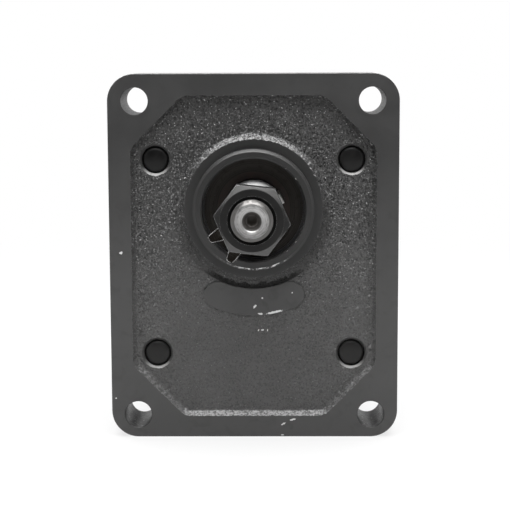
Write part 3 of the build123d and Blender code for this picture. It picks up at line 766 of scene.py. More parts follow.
# %% Nut
NUT_CORNER = 19 / math.sqrt(3)
NUT_FACE_RADIUS, NUT_TURN = 9.05, 36.5
nut = turned("hexagon_nut", [
    (NUT_FRONT, 0), (NUT_FRONT, NUT_CORNER), (NUT_REAR, NUT_CORNER), (NUT_REAR, 0)
], steps=6)
nut.data.transform(Matrix.Rotation(math.radians(NUT_TURN), 4, "Y"))
bevel_edges(nut, runs_along_shaft, 0.16, 2)
chamfer_rise = (NUT_CORNER - NUT_FACE_RADIUS) * math.tan(math.radians(30))
chamfered = turned("chamfered", [
    (NUT_FRONT, 0), (NUT_FRONT, NUT_FACE_RADIUS), (NUT_FRONT + chamfer_rise, NUT_CORNER),
    (NUT_REAR - chamfer_rise, NUT_CORNER), (NUT_REAR, NUT_FACE_RADIUS), (NUT_REAR, 0),
])
combine(nut, chamfered, "INTERSECT")
tap = turned("tap", [
    (NUT_FRONT - 1, 0), (NUT_FRONT - 1, 7.95), (NUT_FRONT + 1.7, THREAD_ROOT + 0.1),
    (NUT_REAR - 1.7, THREAD_ROOT + 0.1), (NUT_REAR + 1, 7.95), (NUT_REAR + 1, 0),
])
combine(tap, shaft_thread("nut_thread", 0.05), "UNION")
combine(nut, tap, "DIFFERENCE")
finish_piece(nut, "drive", "black_oxide_steel", "shaft_nut", angle=25)

# %% [markdown]
# A thin washer behind the nut has two ears that are bent up when the nut is locked. It is punched from
# sheet, so its edges are bare and a little rounded. Each ear is a block whose far end is narrowed.

# %% Tab washer
WASHER_REAR = NUT_REAR + 1.0
WASHER_RADIUS, WASHER_BORE_RADIUS, SHEARED = 8.9, 6.15, 0.1
EAR_ROOT, EAR_ROOT_WIDTH, EAR_TIP_WIDTH = 7.9, 4.9, 2.1
tab_washer = turned("eared_washer", [
    (NUT_REAR, 0), (NUT_REAR, WASHER_RADIUS - SHEARED), (NUT_REAR + SHEARED, WASHER_RADIUS),
    (WASHER_REAR - SHEARED, WASHER_RADIUS), (WASHER_REAR, WASHER_RADIUS - SHEARED), (WASHER_REAR, 0),
])
for ear_angle, ear_reach in ((206.5, 13.8), (242.0, 14.2)):
    ear = block(
        "ear", ear_reach - EAR_ROOT, EAR_ROOT_WIDTH, NUT_REAR, WASHER_REAR,
        x=(EAR_ROOT + ear_reach) / 2,
    )
    pick_faces(ear, lambda centre, normal: normal.x > 0.9)
    bpy.ops.transform.resize(value=(1, 1, EAR_TIP_WIDTH / EAR_ROOT_WIDTH))
    bevel_edges(ear, lambda first, second: runs_along_shaft(first, second) and first.x > 13, 0.7, 5)
    bevel_edges(ear, lies_at(NUT_REAR, WASHER_REAR), SHEARED, 1)
    ear.data.transform(Matrix.Rotation(math.radians(-ear_angle), 4, "Y"))
    combine(tab_washer, ear, "UNION")
hole = turned("hole", [
    (NUT_REAR - 1, 0), (NUT_REAR - 1, 7.25), (NUT_REAR + SHEARED, WASHER_BORE_RADIUS),
    (WASHER_REAR - SHEARED, WASHER_BORE_RADIUS), (WASHER_REAR + 1, 7.25), (WASHER_REAR + 1, 0),
])
combine(tab_washer, hole, "DIFFERENCE")
finish_piece(tab_washer, "drive", "washer_steel", "tab_washer", angle=40)

# %% [markdown]
# The key is a half-moon, a disc cut straight across. It sits on edge in the taper, at 30 degrees.

# %% Half-round key
KEY_CROWN, KEY_HEIGHT, KEY_RADIUS, KEY_WIDTH, KEY_Y = 9.9125, 6.5, 8.0, 3.0, -11.0


def rims_a_side(first, second):
    """An edge round one of the two flat sides of the key."""
    return abs(abs(first.z) - KEY_WIDTH / 2) < NEAR and abs(first.z - second.z) < NEAR


select_only()
bpy.ops.mesh.primitive_cylinder_add(
    vertices=96, radius=KEY_RADIUS * MM, depth=KEY_WIDTH * MM,
    location=mm(KEY_CROWN + KEY_RADIUS - KEY_HEIGHT, KEY_Y, 0),
)
key = bpy.context.object
key.name = key.data.name = "half_round_key"
bpy.ops.object.transform_apply(location=True, rotation=True, scale=True)
edit_all(key)
bpy.ops.mesh.bisect(
    plane_co=mm(KEY_CROWN, 0, 0), plane_no=(1, 0, 0), use_fill=True, clear_outer=True
)
tidy_mesh(key)
bevel_edges(key, rims_a_side, 0.2, 2)
key.data.transform(Matrix.Rotation(math.radians(-30), 4, "Y"))
finish_piece(key, "drive", "key_steel", "woodruff_key", angle=30)

# %% [markdown]
# ## Materials
# A material is a small network of shader nodes. Its pattern is read from Object coordinates, which lie
# in the pump's own frame, so a grain of 1 mm stays 1 mm on every piece. A wire is the output of a node.
# Here a wire can be added and multiplied like a number, and each such step places one more node.

# %% Wires and nodes
class Wire:
    """The output of a shader node, to reckon with."""

    def __init__(self, tree, socket):
        self.tree, self.socket = tree, socket

    def maths(self, operation, other=0.0):
        """One step of arithmetic."""
        return add(self.tree, "Math", {0: self, 1: other}, operation=operation)

    def __add__(self, other):
        return self.maths("ADD", other)

    def __sub__(self, other):
        return self.maths("SUBTRACT", other)

    def __mul__(self, other):
        return self.maths("MULTIPLY", other)

    def __truediv__(self, other):
        return self.maths("DIVIDE", other)

    def __rtruediv__(self, other):
        return add(self.tree, "Math", {0: other, 1: self}, operation="DIVIDE")

    def ramp(self, low, high, to_low=0.0, to_high=1.0):
        """Eases a value from one range into another."""
        ends = {"Value": self, "From Min": low, "From Max": high, "To Min": to_low, "To Max": to_high}
        return add(self.tree, "MapRange", ends, interpolation_type="SMOOTHSTEP")

    def beside(self, name):
        """Another output of the same node."""
        return Wire(self.tree, self.socket.node.outputs[name])


def link_or_set(tree, socket, value):
    """Joins a wire to an input, or writes a plain value there."""
    if isinstance(value, Wire):
        tree.links.new(value.socket, socket)
    else:
        socket.default_value = value


def add(tree, kind, inputs=None, output=0, **settings):
    """A new shader node; returns one of its outputs as a wire."""
    node = tree.nodes.new("ShaderNode" + kind)
    for name, value in settings.items():
        setattr(node, name, value)
    for name, value in (inputs or {}).items():
        link_or_set(tree, node.inputs[name], value)
    return Wire(tree, node.outputs[output])


def vector(operation, first, second=None, output=0):
    """One step of vector arithmetic; SCALE takes a number as its second value."""
    tree = first.tree if isinstance(first, Wire) else second.tree
    inputs = {0: first}
    if second is not None:
        inputs[3 if operation == "SCALE" else 1] = second
    return add(tree, "VectorMath", inputs, output, operation=operation)


def parts_of(wire):
    """The three numbers of a vector."""
    first = add(wire.tree, "SeparateXYZ", {0: wire})
    return [Wire(wire.tree, socket) for socket in first.socket.node.outputs]


# %% [markdown]
# Places are counted in millimetres here too. Most marks on a turned part depend on the distance from
# the shaft axis, and dust depends on how far a face looks upwards.

# %% Where a point lies and which way it faces
def place_of(tree):
    """The place of a point in millimetres."""
    return vector("SCALE", add(tree, "TexCoord", output="Object"), 1 / MM)


def coordinates(tree):
    """The x, y and z of a point and its distance from the shaft axis, in millimetres."""
    x, y, z = parts_of(place_of(tree))
    return x, y, z, (x * x + z * z).maths("SQRT")


def facing(tree):
    """How far a face looks along x, y and z."""
    return parts_of(add(tree, "TexCoord", output="Normal"))


def noise(place, size, detail=3.0, roughness=0.5, distortion=0.0):
    """A cloudy pattern whose lumps are about this many millimetres across."""
    inputs = {
        "Vector": place, "Scale": 1 / size, "Detail": detail, "Roughness": roughness,
        "Distortion": distortion,
    }
    return add(place.tree, "TexNoise", inputs, "Fac")


def mixed(amount, first, second):
    """A blend of two colours."""
    return add(amount.tree, "Mix", {0: amount, 6: first, 7: second}, 2, data_type="RGBA")


def grey(level, warmth=0.0):
    """A near-neutral colour, a little warmer or cooler."""
    return (level * (1 + warmth), level, level * (1 - warmth), 1)


def pushed_normal(push):
    """The surface normal after a push given in the piece's own directions."""
    leaned = vector("ADD", add(push.tree, "TexCoord", output="Normal"), push)
    leaned = add(
        push.tree, "VectorTransform", {0: leaned},
        vector_type="NORMAL", convert_from="OBJECT", convert_to="WORLD",
    )
    return vector("NORMALIZE", leaned)


def relief(height, depth):
    """The normal of a bump whose full depth is given in millimetres."""
    return add(height.tree, "Bump", {"Height": height, "Strength": 1.0, "Distance": depth * MM})


# %% [markdown]
# An effect that several finishes share is a node group with named inputs. It is built once and placed
# in each material with values of its own.

# %% Effects and finishes
def new_effect(name, **inputs):
    """An empty node group and its given values as wires; an underscore stands for a space."""
    group = bpy.data.node_groups.new(name, "ShaderNodeTree")
    for socket, value in inputs.items():
        made = group.interface.new_socket(
            socket.replace("_", " "), in_out="INPUT", socket_type="NodeSocketFloat"
        )
        made.default_value = value
    given = group.nodes.new("NodeGroupInput").outputs
    return group, [Wire(group, socket) for socket in given][:len(inputs)]


def close_effect(group, **results):
    """Ends a node group with its named results."""
    for name in results:
        kind = "NodeSocketVector" if name == "Normal" else "NodeSocketFloat"
        group.interface.new_socket(name, in_out="OUTPUT", socket_type=kind)
    end = group.nodes.new("NodeGroupOutput")
    for name, wire in results.items():
        group.links.new(wire.socket, end.inputs[name])


def place_effect(tree, group, **values):
    """Places an effect in a material; returns its results by name."""
    node = tree.nodes.new("ShaderNodeGroup")
    node.node_tree = group
    for name, value in values.items():
        link_or_set(tree, node.inputs[name.replace("_", " ").capitalize()], value)
    return {socket.name: Wire(tree, socket) for socket in node.outputs}


def new_finish(name, **constants):
    """A material with one Principled shader, and its node tree."""
    material = bpy.data.materials.new(name + "_finish")
    material.use_nodes = True
    for socket, value in constants.items():
        material.node_tree.nodes["Principled BSDF"].inputs[socket].default_value = value
    return material, material.node_tree


def connect(material, colour, roughness, metallic=None, normal=None):
    """Feeds the shader of a material with what varies over the surface."""
    tree = material.node_tree
    feeds = {"Base Color": colour, "Roughness": roughness, "Metallic": metallic, "Normal": normal}
    for socket, wire in feeds.items():
        if wire is not None:
            tree.links.new(wire.socket, tree.nodes["Principled BSDF"].inputs[socket])


# %% [markdown]
# Worn edges: where an edge has been rubbed, paint or blacking is thin and bare steel shows. The Bevel
# node gives a rounded normal near an edge, and the more that differs from the true one, the more wear.
# A noise breaks the line up.

# %% Effect: worn edges
edge_wear, (width, amount, break_up) = new_effect("edge wear", Width=0.3, Amount=0.5, Break_up=1.0)
rounded = add(edge_wear, "Bevel", {"Radius": width * MM}, samples=6)
true_normal = add(edge_wear, "NewGeometry", output="True Normal")
agreement = vector("DOT_PRODUCT", rounded, true_normal, "Value")
patchy = noise(place_of(edge_wear), break_up, 4.0)
worn = agreement.ramp(0.985, 0.8) * patchy.ramp(0.3, 0.65) * amount
close_effect(edge_wear, Mask=worn.maths("MINIMUM", 1.0))

# %% [markdown]
# Turning marks: a lathe leaves fine rings, which are too fine to see one by one from here. What shows is
# that they spread a highlight across the rings. So the normal is leaned to and fro across the rings by
# a noise that reads only the radius and the length. A slower noise gives the streaks of colour.

# %% Effect: turning marks round the shaft
turning, (spacing, lean) = new_effect("turning marks", Spacing=0.12, Lean=0.3)
x, y, z, radius = coordinates(turning)
along = add(turning, "CombineXYZ", {0: radius, 1: y})
rings = noise(along, spacing, 1.0)
bands = noise(along, spacing * 5.0, 2.0)
radial = add(turning, "CombineXYZ", {0: x, 2: z})
round_axis = vector("NORMALIZE", vector("CROSS_PRODUCT", (0, 1, 0), radial))
across = vector("CROSS_PRODUCT", add(turning, "TexCoord", output="Normal"), round_axis)
push = vector("SCALE", across, (rings - 0.5) * (lean * 4.0))
streak = ((rings + bands) * 0.5).ramp(0.38, 0.62)
close_effect(turning, Streak=streak, Normal=pushed_normal(push))

# %% [markdown]
# Sand skin: paint over a sand casting follows every grain. Each grain is a small facet that leans its own
# way, and the few that lean far enough towards the lamp glint. So the normal is pushed by a noise that
# has a direction, its colour. Patches: no painted face is the same shade all over.

# %% Effects: sand skin and patches
sand_skin, (grain, lean) = new_effect("sand skin", Grain=0.6, Lean=0.5)
lumps = noise(place_of(sand_skin), grain, 2.0)
own_way = vector("SUBTRACT", lumps.beside("Color"), (0.5, 0.5, 0.5))
push = vector("SCALE", own_way, lean * 2.0)
close_effect(sand_skin, Height=lumps, Normal=pushed_normal(push))

patches, (size,) = new_effect("patches", Size=12.0)
clouds = noise(place_of(patches), size, 5.0, 0.6)
smudge = noise(place_of(patches), size / 3.3, 3.0, distortion=0.8)
close_effect(patches, Mask=clouds.ramp(0.3, 0.7), Smudge=smudge.ramp(0.52, 0.72))

# %% [markdown]
# Chips: where the paint was knocked off, a pale ragged spot shows. Each is a small ellipse at a place on
# the pump, and its outline is broken up by a noise. Flecks: dust lies as dots too small to place by hand,
# so every cell of a Voronoi pattern gets one, and a random number decides which of them show.

# %% Effects: chips and flecks
chip, (chip_x, chip_z, angle, length, width, ragged) = new_effect(
    "chip", X=0.0, Z=0.0, Angle=0.0, Length=1.0, Width=0.5, Ragged=0.5
)
spread = noise(place_of(chip), 1 / 2.2, 3.0)
centre = add(chip, "CombineXYZ", {0: chip_x, 2: chip_z})
offset = vector("SUBTRACT", place_of(chip), centre)
turn = add(chip, "VectorRotate", {"Vector": offset, "Angle": angle}, rotation_type="Y_AXIS")
u, _, v = parts_of(turn)
ellipse = add(chip, "CombineXYZ", {0: u / (length * 0.5), 1: v / (width * 0.5)})
reach = vector("LENGTH", ellipse, output="Value") + (spread - 0.5) * (ragged * 4.0)
close_effect(chip, Mask=reach.ramp(0.8, 1.1, 1.0, 0.0))

flecks, (spacing, size, amount) = new_effect("flecks", Spacing=2.0, Size=0.2, Amount=0.3)
cells = add(flecks, "TexVoronoi", {"Vector": place_of(flecks), "Scale": 1 / spacing}, "Distance")
chance = parts_of(cells.beside("Color"))[0]
dot = cells.maths("LESS_THAN", size / spacing)
close_effect(flecks, Mask=dot * chance.maths("LESS_THAN", amount))


def chipped(tree, marks):
    """The mask of a list of chips, each with x, z, angle, length, width and raggedness."""
    mask = None
    for x, z, angle, length, width, ragged in marks:
        one = place_effect(
            tree, chip, x=x, z=z, angle=math.radians(angle), length=length, width=width, ragged=ragged
        )["Mask"]
        mask = one if mask is None else mask.maths("MAXIMUM", one)
    return mask


# %% [markdown]
# Corner shade: the inner corners of a casting are painted darker, as shade. The Ambient Occlusion
# node finds such corners by looking for other faces within a short distance.

# %% Effect: painted shade in corners
corner_shade, (reach,) = new_effect("corner_shade", Reach=2.0)
near = add(corner_shade, "AmbientOcclusion", {"Distance": reach * MM}, "AO", samples=8)
close_effect(corner_shade, Mask=near.ramp(0.85, 0.4))

# %% [markdown]
# The milled rim has a thin even coat. It is painted lighter towards the foot of the pump, as light from
# the floor, and painted darker on the boss round the pilot, as shade. The paint is chipped or rubbed
# through in a few places, above all on the lower edge of the pilot. Marks that belong to the front fade
# out behind it, so the rear cover stays clean.

# %% Paint on the milled rim
MILLED_CHIPS = [
    (6.2, -32.0, 12, 5.0, 0.75, 0.35), (1.9, -32.5, -5, 1.4, 0.6, 0.5), (0.2, -30.2, 45, 1.5, 0.6, 0.5),
    (2.53, -27.57, 0, 0.5, 0.5, 0.3), (11.69, -25.96, 0, 0.45, 0.45, 0.3),
    (8.9, -66.6, 30, 1.6, 0.5, 0.5), (11.7, -65.3, 15, 1.9, 0.55, 0.5), (8.6, -70.1, 0, 0.9, 0.4, 0.5),
    (-40.4, -13.4, 20, 1.1, 0.8, 0.4), (-42.6, -58.5, 0, 0.5, 0.45, 0.3),
]


def painted_floor_light(z, cloud):
    """A mask that grows towards the foot of the pump, as painted light from the floor, a little uneven."""
    return z.ramp(22, -32, 0.0, 0.75) + cloud * 0.25


rim_paint, tree = new_finish("rim_paint", IOR=1.5)
cloud = place_effect(tree, patches, size=14.0)
skin = place_effect(tree, sand_skin, grain=0.5, lean=0.06)
rubbed = place_effect(tree, edge_wear, width=0.25, amount=0.3, break_up=1.5)["Mask"]
dots = place_effect(tree, flecks, spacing=5.0, size=0.16, amount=0.35)["Mask"]
x, y, z, radius = coordinates(tree)
ragged = noise(place_of(tree), 0.9, 3.0, 0.55)
in_front = y.ramp(4, 2)
low_edge = z.ramp(-12, -17) * y.ramp(-4.2, -4.5) * radius.ramp(17.45, 17.6) * ragged.ramp(0.46, 0.62)
low_edge = low_edge * x.ramp(-7, -2.5, 0.2, 1.0) * x.ramp(11, 8, 0.1, 1.0)
mouth_edge = radius.ramp(16.0, 15.8) * ragged.ramp(0.3, 0.6, 0.05, 0.3) * y.ramp(-4.3, -4.5)
bare = low_edge.maths("MAXIMUM", chipped(tree, MILLED_CHIPS) * in_front)
# Painted light from the floor: the paint is lighter towards the foot.
colour = mixed(painted_floor_light(z, cloud["Mask"]), grey(0.02, 0.01), grey(0.052, 0.01))
colour = mixed(cloud["Smudge"] * 0.3, colour, grey(0.016, 0.03))
colour = mixed(rubbed.maths("MAXIMUM", dots * 0.4), colour, grey(0.25))
# Painted shade on the boss face round the pilot, at the front only.
colour = mixed(radius.ramp(23, 20, 0.0, 0.75) * in_front, colour, grey(0.01, 0.02))
colour = mixed(bare.maths("MAXIMUM", mouth_edge), colour, grey(0.62))
connect(rim_paint, colour, cloud["Mask"].ramp(0, 1, 0.46, 0.58), normal=skin["Normal"])

# %% [markdown]
# The cast panel glitters at the top with painted glints, where its skin is coarse, and is duller lower
# down. Grains that look upwards carry a painted highlight, and painted shade fills the corner below the
# boss.

# %% Paint on the sand-cast skin
CAST_CHIPS = [
    (1.34, -37.6, 60, 0.7, 0.35, 0.4), (2.57, -37.6, 0, 0.9, 0.5, 0.4), (4.11, -37.6, 90, 0.8, 0.35, 0.4),
]
cast_paint, tree = new_finish("cast_paint", IOR=1.5)
cloud = place_effect(tree, patches, size=9.0)
x, y, z, radius = coordinates(tree)
upper, in_front, upward = z.ramp(-55, 15), y.ramp(5, 3), facing(tree)[2]
skin = place_effect(tree, sand_skin, grain=0.45, lean=upper.ramp(0, 1, 1.3, 2.4))
# Painted light from the floor: the paint is lighter towards the foot.
colour = mixed(painted_floor_light(z, cloud["Mask"]), grey(0.033, 0.01), grey(0.067, 0.01))
# Painted shade in the hollows of the grain, strongest at the top of the panel.
painted_pit_shade = skin["Height"].ramp(0.48, 0.36) * upper.ramp(0, 1, 0.5, 0.9)
colour = mixed(painted_pit_shade, colour, grey(0.013, 0.02))

# Painted highlights: pale on grains that look upwards, and sparse glints towards the top.
speck = noise(place_of(tree), 0.6, 2.0, 0.55)
glints = noise(place_of(tree), 0.5, 0.0).ramp(0.72, 0.8) * upper.ramp(0, 1, 0.2, 1.0)
low_corner = x.maths("ABSOLUTE").ramp(19, 24) * z.ramp(-20, -40)
painted_grain_highlights = upward.ramp(0.35, 0.7) * speck.ramp(0.32, 0.62) * low_corner.ramp(0, 1, 0.95, 0.35)
painted_grain_highlights = painted_grain_highlights.maths("MAXIMUM", glints) * in_front.ramp(0, 1, 0.2, 1.0)
colour = mixed(painted_grain_highlights, colour, grey(0.35))

# Painted shade: darker in corners, under the boss and in the shadow above the pad.
corners = place_effect(tree, corner_shade, reach=2.2)["Mask"]
painted_shade_under_boss = radius.ramp(26, 23.5) * z.ramp(8, -12) * upward.ramp(0.5, 0.2) * in_front * 0.4
wander = (noise(place_of(tree), 1.3, 3.0, 0.55) - 0.5) * 3.5
painted_shadow_above_pad = (radius + wander).ramp(22.7, 23.3) * radius.ramp(25, 24.4) * z.ramp(-17, -21) * in_front
painted_shade = (corners * 0.8).maths("MAXIMUM", painted_shade_under_boss.maths("MAXIMUM", painted_shadow_above_pad))
colour = mixed(painted_shade, colour, grey(0.003, 0.1))
colour = mixed(chipped(tree, CAST_CHIPS) * in_front, colour, grey(0.6))
connect(cast_paint, colour, painted_shade.ramp(0, 1, 0.3, 0.8), normal=skin["Normal"])

# %% [markdown]
# The bores are oily and dark, with flecks on their left and right walls. The countersinks round the ends
# of the body screws are scraped clean, and where they look upwards they carry a painted highlight.

# %% Bores
bore_paint, tree = new_finish("bore_paint", IOR=1.45)
marks = place_effect(tree, turning, spacing=0.2, lean=0.08)
cloud = place_effect(tree, patches, size=6.0)
dots = place_effect(tree, flecks, spacing=1.4, size=0.28, amount=0.35)["Mask"]
x, y, z, radius = coordinates(tree)
sideways, up_down = x.maths("ABSOLUTE"), (z - PANEL_MIDDLE_Z).maths("ABSOLUTE")
colour = mixed(cloud["Smudge"], grey(0.014, 0.01), grey(0.009, 0.04))
colour = mixed(dots * sideways.ramp(4, 13, 0.45, 0.95), colour, grey(0.3, 0.03))
countersunk = sideways.ramp(20, 22) * up_down.ramp(36, 35) * y.ramp(3, 2.6)
colour = mixed(countersunk, colour, grey(0.04, 0.01))
# Painted highlight on the countersinks where they look upwards, stronger higher up.
painted_countersink_highlight = countersunk * facing(tree)[2].ramp(0.35, 0.75) * z.ramp(-30, 0, 0.6, 1.0)
colour = mixed(painted_countersink_highlight, colour, grey(0.36, 0.01))
connect(bore_paint, colour, marks["Streak"].ramp(0, 1, 0.36, 0.5), normal=marks["Normal"])
for piece in (flange, cover):
    for place, finish in ((MILLED, rim_paint), (CAST, cast_paint), (BORED, bore_paint)):
        piece.data.materials[place] = finish

# %% [markdown]
# The body is painted outside and bare inside, where the gears run.

# %% Body
body_paint, tree = new_finish("body_paint", IOR=1.5)
cloud = place_effect(tree, patches, size=16.0)
rubbed = place_effect(tree, edge_wear, width=0.3, amount=0.4, break_up=2.0)["Mask"]
colour = mixed(rubbed, mixed(cloud["Mask"], grey(0.036, 0.01), grey(0.046, 0.01)), grey(0.3))
connect(body_paint, colour, cloud["Mask"].ramp(0, 1, 0.42, 0.55))

bare_bore, tree = new_finish("bare_alloy_bore", Metallic=1.0)
marks = place_effect(tree, turning, spacing=0.2, lean=0.1)
colour = mixed(marks["Streak"], grey(0.5), grey(0.68))
connect(bare_bore, colour, marks["Streak"].ramp(0, 1, 0.28, 0.42), normal=marks["Normal"])
for place, finish in ((MILLED, body_paint), (CAST, body_paint), (BORED, bare_bore)):
    body.data.materials[place] = finish


# %% [markdown]
# Two metal pieces have marks of their own. The shaft has arcs on its end, a dull taper, dark thread
# flanks and a centre hole with painted shade. The key is darker on all faces but its front end.

# %% Marks of the shaft and the key
def shaft_marks(tree, colour):
    """The colour of the shaft with its own marks, and how metallic it is."""
    x, y, z, radius = coordinates(tree)
    # Painted shade in the centre hole, with its drilled core painted a little lighter.
    painted_hole_shade = radius.ramp(3.0, 2.6) * y.ramp(-35.45, -35.25)
    cut = add(tree, "CombineXYZ", {0: radius, 1: x * 0.16, 2: z * 0.16})
    arcs = noise(cut, 0.35, 1.0, 0.55).ramp(0.5, 0.62, 0.0, 0.55) * radius.ramp(3.6, 4.2, 0.4, 1.0)
    colour = mixed(arcs, colour, grey(0.16, 0.02))
    deep = radius.ramp(1.75, 1.6)
    colour = mixed(painted_hole_shade, colour, mixed(deep, grey(0.04, 0.08), grey(0.3, 0.05)))
    ground = y.ramp(-24.2, -23.8) * y.ramp(6, 3)
    colour = mixed(ground, colour, grey(0.52))
    thread = radius.ramp(4.75, 4.95) * y.ramp(-24, -24.4)
    colour = mixed(thread * 0.85, colour, grey(0.09, 0.04))
    dull = (ground * 0.6).maths("MAXIMUM", painted_hole_shade)
    return colour, dull.ramp(0, 1, 1.0, 0.0)


def key_marks(tree, colour):
    """The colour of the key, bright only at its front end."""
    # Darker on every face that does not look forward.
    return mixed(facing(tree)[1].ramp(-0.6, -0.3), colour, grey(0.02, 0.1)), None


# %% [markdown]
# All bare metals share one recipe: turning marks, a few stains, and edges that are rubbed bright. Only
# the numbers differ, such as how light the metal is and how far apart its marks are.

# %% Bare and blackened metals
def metal_finish(
    name, low, high, rough_low, rough_high, spacing=0.12, warmth=0.01, lean=0.15, edges=0.3, width=0.2,
    bright=0.6, worn_beyond=None, own_marks=None,
):
    """A metal with turning marks, a little stained, and brighter where its edges are rubbed."""
    material, tree = new_finish(name, Metallic=1.0)
    marks = place_effect(tree, turning, spacing=spacing, lean=lean)
    cloud = place_effect(tree, patches, size=4.0)
    colour = mixed(marks["Streak"], grey(low, warmth), grey(high, warmth))
    colour = mixed(cloud["Smudge"] * 0.3, colour, grey(low * 0.6, warmth * 3))
    rubbed = place_effect(tree, edge_wear, width=width, amount=edges, break_up=0.8)["Mask"]
    if worn_beyond:
        rubbed = rubbed * coordinates(tree)[3].ramp(worn_beyond, worn_beyond + 0.3)
    colour = mixed(rubbed, colour, grey(bright))
    metallic = None
    if own_marks:
        colour, metallic = own_marks(tree, colour)
    connect(material, colour, marks["Streak"].ramp(0, 1, rough_low, rough_high), metallic, marks["Normal"])
    return material


turned_steel = metal_finish("turned_steel", 0.36, 0.54, 0.36, 0.5, lean=0.25, own_marks=shaft_marks)
key_steel = metal_finish("key_steel", 0.5, 0.65, 0.4, 0.5, 0.2, own_marks=key_marks)
washer_steel = metal_finish(
    "washer_steel", 0.012, 0.022, 0.4, 0.5, 0.3, 0.12, 0.03, edges=3.0, width=0.4, bright=0.9,
    worn_beyond=9.0,
)
spring_black = metal_finish("spring_black", 0.025, 0.045, 0.45, 0.6, 0.3, 0.08, 0.03, edges=0.0)
zinc_steel = metal_finish("zinc_steel", 0.5, 0.62, 0.3, 0.42, 0.3, -0.01)
alloy = metal_finish("block_aluminium", 0.55, 0.7, 0.3, 0.42, 0.2, -0.005)
bronze = metal_finish("bush_bronze", 0.3, 0.42, 0.3, 0.42, 0.2, 0.3)

# %% [markdown]
# Black oxide is a thin dark skin on steel, rubbed off at the edges. It is painted lighter towards the
# foot as light from the floor, and the nut's front chamfer has a painted highlight at its top and bottom.
# Rubber and plastic are nearly plain, with a cloudy shade.

# %% Black oxide, rubber and plastic
black_oxide, tree = new_finish("black_oxide_steel", IOR=1.3)
cloud = place_effect(tree, patches, size=3.0)["Mask"]
rubbed = place_effect(tree, edge_wear, width=0.5, amount=1.4, break_up=1.2)["Mask"]
x, y, z, radius = coordinates(tree)
# Painted light from the floor: the blacking is lighter towards the foot.
colour = mixed(painted_floor_light(z, cloud), grey(0.004, 0.02), grey(0.016, 0.02))
# Painted highlight at the top and bottom of the nut's front chamfer.
nut_chamfer_highlight = radius.ramp(8.75, 8.9) * y.ramp(-32.0, -32.3) * z.maths("ABSOLUTE").ramp(2.5, 7.5)
colour = mixed(nut_chamfer_highlight, colour, grey(0.075, 0.01))
colour = mixed(rubbed, colour, grey(0.3))
connect(black_oxide, colour, cloud.ramp(0, 1, 0.28, 0.4), rubbed, relief(cloud, 0.01))


def cloudy_finish(name, low, high, rough_low, rough_high, depth=0.01, ior=1.5):
    """A finish whose only pattern is a soft cloud between two colours."""
    material, tree = new_finish(name, IOR=ior)
    cloud = place_effect(tree, patches, size=3.0)["Mask"]
    normal = relief(cloud, depth) if depth else None
    connect(material, mixed(cloud, low, high), cloud.ramp(0, 1, rough_low, rough_high), normal=normal)
    return material


rubber = cloudy_finish(
    "seal_rubber", (0.012, 0.007, 0.005, 1), (0.02, 0.01, 0.007, 1), 0.45, 0.6, ior=1.4
)
static_rubber = cloudy_finish("static_rubber", grey(0.012), grey(0.02), 0.45, 0.6)
plastic = cloudy_finish(
    "backup_plastic", (0.62, 0.6, 0.54, 1), (0.7, 0.68, 0.62, 1), 0.35, 0.5, depth=0
)

# %% [markdown]
# The pieces modelled here get their finish one by one. The CAD nodes that are carried over get theirs by
# name, so a bush is bronze and a seal is rubber.

# %% Dress every piece and node
for piece, finish in (
    (shaft, turned_steel), (nut, black_oxide), (tab_washer, washer_steel), (key, key_steel),
    *((screw, black_oxide) for screw in screws), *((washer, zinc_steel) for washer in washers),
):
    dress(piece, finish)
finish_of_word = {
    "dowels": key_steel, "driven_gear_shaft": turned_steel, "retaining_ring": spring_black,
    "seal_case": spring_black, "seal_lip": rubber, "garter_spring": key_steel, "block": alloy,
    "bush": bronze, "backup": plastic, "seal": static_rubber,
}
for name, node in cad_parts.items():
    finishes = [finish for word, finish in finish_of_word.items() if word in name]
    if finishes:
        for place in node.material_slots:
            place.material = finishes[0]
        print(name, "->", finishes[0].name)

# %% [markdown]
# ## Camera, floor and light
# The camera stands where the photographer stood: level with the top of the pump and looking down a
# little. Its roll and yaw are what hands leave when they hold a camera.

# %% Camera
CAMERA_PLACE = (6.60, -441.61, 45.27)
CAMERA_YAW, CAMERA_PITCH, CAMERA_ROLL = -0.810, 7.657, 0.230
FOCAL_LENGTH = 103.59
select_only()
bpy.ops.object.camera_add(location=mm(*CAMERA_PLACE))
camera = bpy.context.object
camera.data.sensor_width, camera.data.lens = 36, FOCAL_LENGTH
camera.rotation_euler = (
    Matrix.Rotation(math.radians(-CAMERA_YAW), 3, "Z")
    @ Matrix.Rotation(math.radians(90 - CAMERA_PITCH), 3, "X")
    @ Matrix.Rotation(math.radians(-CAMERA_ROLL), 3, "Z")
).to_euler()
camera.data.clip_start, camera.data.clip_end = 0.01, 20
bpy.context.scene.camera = camera
print("camera at", CAMERA_PLACE, "mm, focal length", FOCAL_LENGTH)

# %% [markdown]
# The pump stands on pale paper. To the camera the paper glows white, all but a soft shadow close to the
# pump. To the pump it is a pale grey floor, and white where a polished face mirrors it from behind.

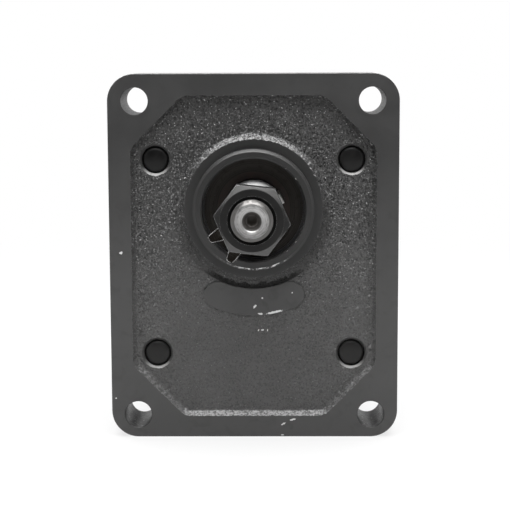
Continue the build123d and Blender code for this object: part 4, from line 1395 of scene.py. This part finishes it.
# %% Floor
FLOOR_Z = -70.65
select_only()
bpy.ops.mesh.primitive_plane_add(size=60, location=mm(0, 0, FLOOR_Z))
bpy.ops.object.transform_apply(location=True, rotation=True, scale=True)
floor = bpy.context.object
floor.name = "studio_floor"
floor_finish, tree = new_finish("studio_floor", Roughness=0.9)
shader = tree.nodes["Principled BSDF"]
shader.inputs["Base Color"].default_value = grey(0.55)
from_camera = add(tree, "LightPath", output="Is Camera Ray")
place = add(tree, "TexCoord", output="Object")
distance = vector("LENGTH", place, output="Value")
seen = from_camera * distance.ramp(0.1, 0.5, 0.75, 1.0)
mirrored = from_camera.beside("Is Glossy Ray") * parts_of(place)[1].ramp(-0.5, -0.15)
glow = add(tree, "Emission", {"Color": grey(1.0), "Strength": 1.0})
paper = add(tree, "MixShader", {
    0: seen.maths("MAXIMUM", mirrored), 1: Wire(tree, shader.outputs[0]), 2: glow
})
tree.links.new(paper.socket, tree.nodes["Material Output"].inputs["Surface"])
dress(floor, floor_finish)

# %% [markdown]
# The room is dark in front of the pump and bright behind it, which keeps the faces towards the camera
# deep grey. A large lamp overhead does most of the work, and three weak ones fill in.

# %% World and lamps
world = bpy.data.worlds.new("studio")
bpy.context.scene.world = world
world.use_nodes = True
tree = world.node_tree
backwards = parts_of(add(tree, "TexCoord", output="Generated"))[1]
backdrop = backwards.ramp(-0.2, 0.5, 0.08, 1.0)
strength = backdrop.maths("MAXIMUM", add(tree, "LightPath", output="Is Camera Ray"))
tree.nodes["Background"].inputs["Color"].default_value = grey(1.0)
tree.links.new(strength.socket, tree.nodes["Background"].inputs["Strength"])


def softbox(name, place, aim, width, height, watts):
    """A square lamp that points at a place on the pump."""
    select_only()
    bpy.ops.object.light_add(type="AREA", location=mm(*place))
    lamp = bpy.context.object
    lamp.name = name
    lamp.data.shape, lamp.data.size, lamp.data.size_y = "RECTANGLE", width * MM, height * MM
    lamp.data.energy = watts
    lamp.rotation_euler = (mm(*place) - mm(*aim)).to_track_quat("Z", "Y").to_euler()
    print(name, watts, "W")


PUMP_MIDDLE = (0, 0, -15)
softbox("overhead_softbox", (0, 20, 750), (0, 20, -15), 900, 800, 20)
softbox("front_softbox", (0, -650, 850), PUMP_MIDDLE, 900, 350, 4)
softbox("left_softbox", (-900, -500, 300), PUMP_MIDDLE, 500, 700, 1.5)
softbox("right_softbox", (900, -500, 300), PUMP_MIDDLE, 500, 700, 1.5)
bpy.context.scene.view_settings.view_transform = "Standard"
